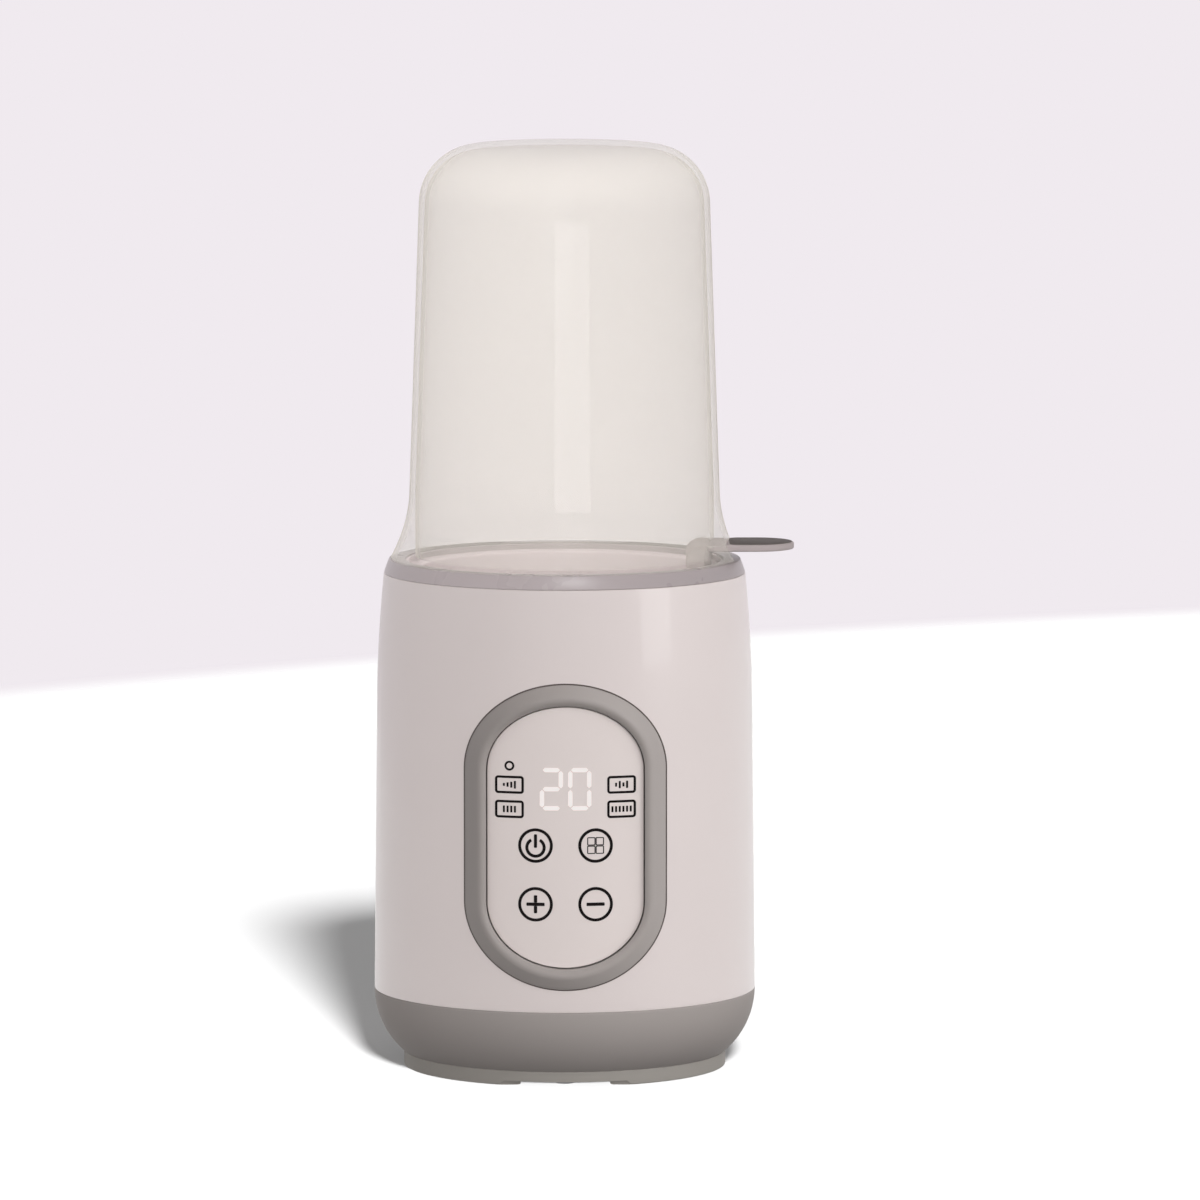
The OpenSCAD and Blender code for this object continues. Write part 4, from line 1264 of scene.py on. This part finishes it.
# Dark strip of painted shade round the bezel.
dress(make_shade_line(), "warmer", "black_rubber", "painted_shade_line")
panel = dress(make_panel(), "warmer", "panel_plastic", "panel_plastic", "control_panel")
dress(make_print(), "warmer", "black_plastic", "ink")
dress(make_digits(), "warmer", "white_plastic", "lit_digits")
bowl = dress(make_bowl(), "warmer", "base_grey_plastic", "base_grey_plastic", "base_shell")
foot = dress(make_foot_plate(), "warmer", "foot_grey_plastic", "foot_grey_plastic", "base_cover")
dress(make_grip_ring(), "warmer", "black_rubber", "black_rubber", "non_slip_ring")
dress(make_bush(), "warmer", "black_rubber", "black_rubber", "cord_gland")


# Floor, light and camera, in metres and degrees

FLOOR_R = 14
FLOOR_CENTRE = (0.85, -0.25, 0)
FLOOR_FADE_START = 1.6
FLOOR_FADE_END = 1.65
FLOOR_WHITE = (0.4, 0.4, 0.402, 1)
FLOOR_BOUNCE = (0.06, 0.059, 0.059, 1)
FLOOR_GLOW = 0.12
BACK_COLOUR = srgb(240, 234, 239)
ROOM_COLOUR = (1, 0.985, 0.98, 1)
ROOM_LEVEL = {"From Min": 0.1, "From Max": 0.5, "To Min": 2.15, "To Max": 0.2}
SUN_AZIMUTH = 7
SUN_ELEVATION = 26
SUN_SPREAD = 7
SUN_ENERGY = 16
LENS = 318
SENSOR_W = 36
CAMERA_PLACE = (0.01076, -3.2035, 0.4875)
CAMERA_TURN = -0.45
CAMERA_TILT = 83.85


def seen_rays(tree):
    """1 for rays from the camera, mirrors and clear pieces, and 0 for light."""
    path = tree.nodes.new("ShaderNodeLightPath")
    seen = math_node(tree, "MAXIMUM", path.outputs["Is Camera Ray"], path.outputs["Is Glossy Ray"])
    return math_node(tree, "MAXIMUM", seen, path.outputs["Is Transmission Ray"])


def mixed(tree, factor, first, second):
    """Mix of two shaders."""
    node = tree.nodes.new("ShaderNodeMixShader")
    tree.links.new(factor, node.inputs["Fac"])
    tree.links.new(first, node.inputs[1])
    tree.links.new(second, node.inputs[2])
    return node.outputs[0]


def make_floor():
    """Pale floor that keeps the shadow near the object and turns to the background's colour farther off."""
    bpy.ops.object.select_all(action="DESELECT")
    bpy.ops.mesh.primitive_circle_add(vertices=96, radius=FLOOR_R, fill_type="NGON")
    floor = named("floor")
    material = bpy.data.materials.new("pale_floor")
    material.use_nodes = True
    tree = material.node_tree
    tree.nodes.clear()
    length = tree.nodes.new("ShaderNodeVectorMath")
    length.operation = "DISTANCE"
    length.inputs[1].default_value = FLOOR_CENTRE
    tree.links.new(tree.nodes.new("ShaderNodeTexCoord").outputs["Object"], length.inputs[0])
    far = tree.nodes.new("ShaderNodeMapRange")
    far.interpolation_type = "SMOOTHSTEP"
    far.inputs["From Min"].default_value = FLOOR_FADE_START
    far.inputs["From Max"].default_value = FLOOR_FADE_END
    tree.links.new(length.outputs["Value"], far.inputs["Value"])
    white = tree.nodes.new("ShaderNodeBsdfDiffuse")
    white.inputs["Color"].default_value = FLOOR_WHITE
    dim = tree.nodes.new("ShaderNodeBsdfDiffuse")
    dim.inputs["Color"].default_value = FLOOR_BOUNCE
    back = tree.nodes.new("ShaderNodeEmission")
    back.inputs["Color"].default_value = BACK_COLOUR
    glow = tree.nodes.new("ShaderNodeEmission")
    lit = tree.nodes.new("ShaderNodeMixShader")
    lit.inputs["Fac"].default_value = FLOOR_GLOW
    tree.links.new(white.outputs[0], lit.inputs[1])
    tree.links.new(glow.outputs[0], lit.inputs[2])
    floor_and_back = mixed(tree, far.outputs["Result"], lit.outputs[0], back.outputs[0])
    out = tree.nodes.new("ShaderNodeOutputMaterial")
    tree.links.new(mixed(tree, seen_rays(tree), dim.outputs[0], floor_and_back), out.inputs["Surface"])
    floor.data.materials.append(material)
    return floor


def hang_lamp(name, kind, azimuth, elevation, energy, targets):
    """Lamp turned to the object from an azimuth to the right of the front, for some pieces or for all."""
    data = bpy.data.lights.new(name, kind)
    data.energy = energy
    lamp = bpy.data.objects.new(name, data)
    bpy.context.scene.collection.objects.link(lamp)
    lamp.rotation_euler = Euler((RIGHT_ANGLE - math.radians(elevation), 0, math.radians(azimuth)))
    if targets:
        receivers = bpy.data.collections.new(name + "_receivers")
        for target in targets:
            receivers.objects.link(target)
        lamp.light_linking.receiver_collection = receivers
    return lamp


def make_softbox(name, *targets, azimuth, elevation, distance, size, radiance, aim_z=0.12, mirrored=False):
    """Softbox that faces a point on the axis, with its place and size in metres."""
    width, height = size
    lamp = hang_lamp(name, "AREA", azimuth, elevation, radiance * math.pi * width * height, targets)
    lamp.data.shape = "RECTANGLE"
    lamp.data.size = width
    lamp.data.size_y = height
    lamp.location = Vector((0, 0, aim_z)) + lamp.rotation_euler.to_matrix() @ Vector((0, 0, distance))
    lamp.visible_camera = False
    lamp.visible_glossy = mirrored


def make_floor_sun(floor):
    """Soft sun from the front that gives the floor its white and the object's shadow."""
    lamp = hang_lamp("floor_sun", "SUN", SUN_AZIMUTH, SUN_ELEVATION, SUN_ENERGY, [floor])
    lamp.data.angle = math.radians(SUN_SPREAD)


def make_world():
    """Pale surroundings, which give more light from the sides than from above."""
    world = bpy.data.worlds.new("pale_room")
    world.use_nodes = True
    tree = world.node_tree
    tree.nodes.clear()
    light = tree.nodes.new("ShaderNodeBackground")
    light.inputs["Color"].default_value = ROOM_COLOUR
    rise = tree.nodes.new("ShaderNodeSeparateXYZ")
    tree.links.new(tree.nodes.new("ShaderNodeTexCoord").outputs["Generated"], rise.inputs[0])
    level = tree.nodes.new("ShaderNodeMapRange")
    level.interpolation_type = "SMOOTHSTEP"
    for socket, value in ROOM_LEVEL.items():
        level.inputs[socket].default_value = value
    tree.links.new(rise.outputs["Z"], level.inputs["Value"])
    tree.links.new(level.outputs["Result"], light.inputs["Strength"])
    back = tree.nodes.new("ShaderNodeBackground")
    back.inputs["Color"].default_value = BACK_COLOUR
    out = tree.nodes.new("ShaderNodeOutputWorld")
    tree.links.new(mixed(tree, seen_rays(tree), light.outputs[0], back.outputs[0]), out.inputs["Surface"])
    bpy.context.scene.world = world


def make_camera():
    """Long lens, higher than the cover and looking slightly down."""
    data = bpy.data.cameras.new("camera")
    data.lens = LENS
    data.sensor_width = SENSOR_W
    data.clip_end = 60
    camera = bpy.data.objects.new("camera", data)
    bpy.context.scene.collection.objects.link(camera)
    turn = math.radians(CAMERA_TURN)
    camera.location = Matrix.Rotation(turn, 3, "Z") @ Vector(CAMERA_PLACE)
    camera.rotation_euler = Euler((math.radians(CAMERA_TILT), 0, turn))
    bpy.context.scene.camera = camera


floor = make_floor()
front = (barrel, bezel, panel)
make_softbox("key", azimuth=4, elevation=18, distance=2.4, size=(2.4, 1.4), radiance=1.57)
make_softbox(
    "left_fill", cover, basket, rim, barrel, well, panel,
    azimuth=-72, elevation=10, distance=2, size=(1.2, 0.9), radiance=0.8)
make_softbox("right_fill", *front, azimuth=80, elevation=10, distance=2, size=(1.2, 0.9), radiance=2.4)
make_softbox(
    "side_strip", *front,
    azimuth=58, elevation=8, distance=1.5, size=(0.55, 0.5), radiance=3.2, mirrored=True)
make_softbox(
    "cover_strip", cover,
    azimuth=5.5, elevation=0, distance=1.5, size=(0.7, 0.3), radiance=2.4, aim_z=0.125, mirrored=True)
make_softbox(
    "rim_strip", rim,
    azimuth=7, elevation=31, distance=1.5, size=(0.5, 0.3), radiance=8, aim_z=0.153, mirrored=True)
make_softbox(
    "side_key", bowl, foot, bezel,
    azimuth=47, elevation=37, distance=1.5, size=(1.2, 1.2), radiance=3.1, aim_z=0.05)
make_softbox("top_light", cover, well, azimuth=0, elevation=78, distance=1.5, size=(1.2, 1.2), radiance=2.6)
make_softbox(
    "well_fill", well,
    azimuth=0, elevation=8, distance=1.5, size=(1.2, 0.3), radiance=5.6, aim_z=0.153)
make_softbox(
    "rear_fill", rim, barrel, bowl, foot,
    azimuth=180, elevation=12, distance=2, size=(1.2, 0.9), radiance=1.4)
make_floor_sun(floor)
cover.visible_shadow = False
foot.visible_shadow = False
make_world()
make_camera()
bpy.context.scene.view_settings.view_transform = "Standard"

bpy.context.view_layer.update()
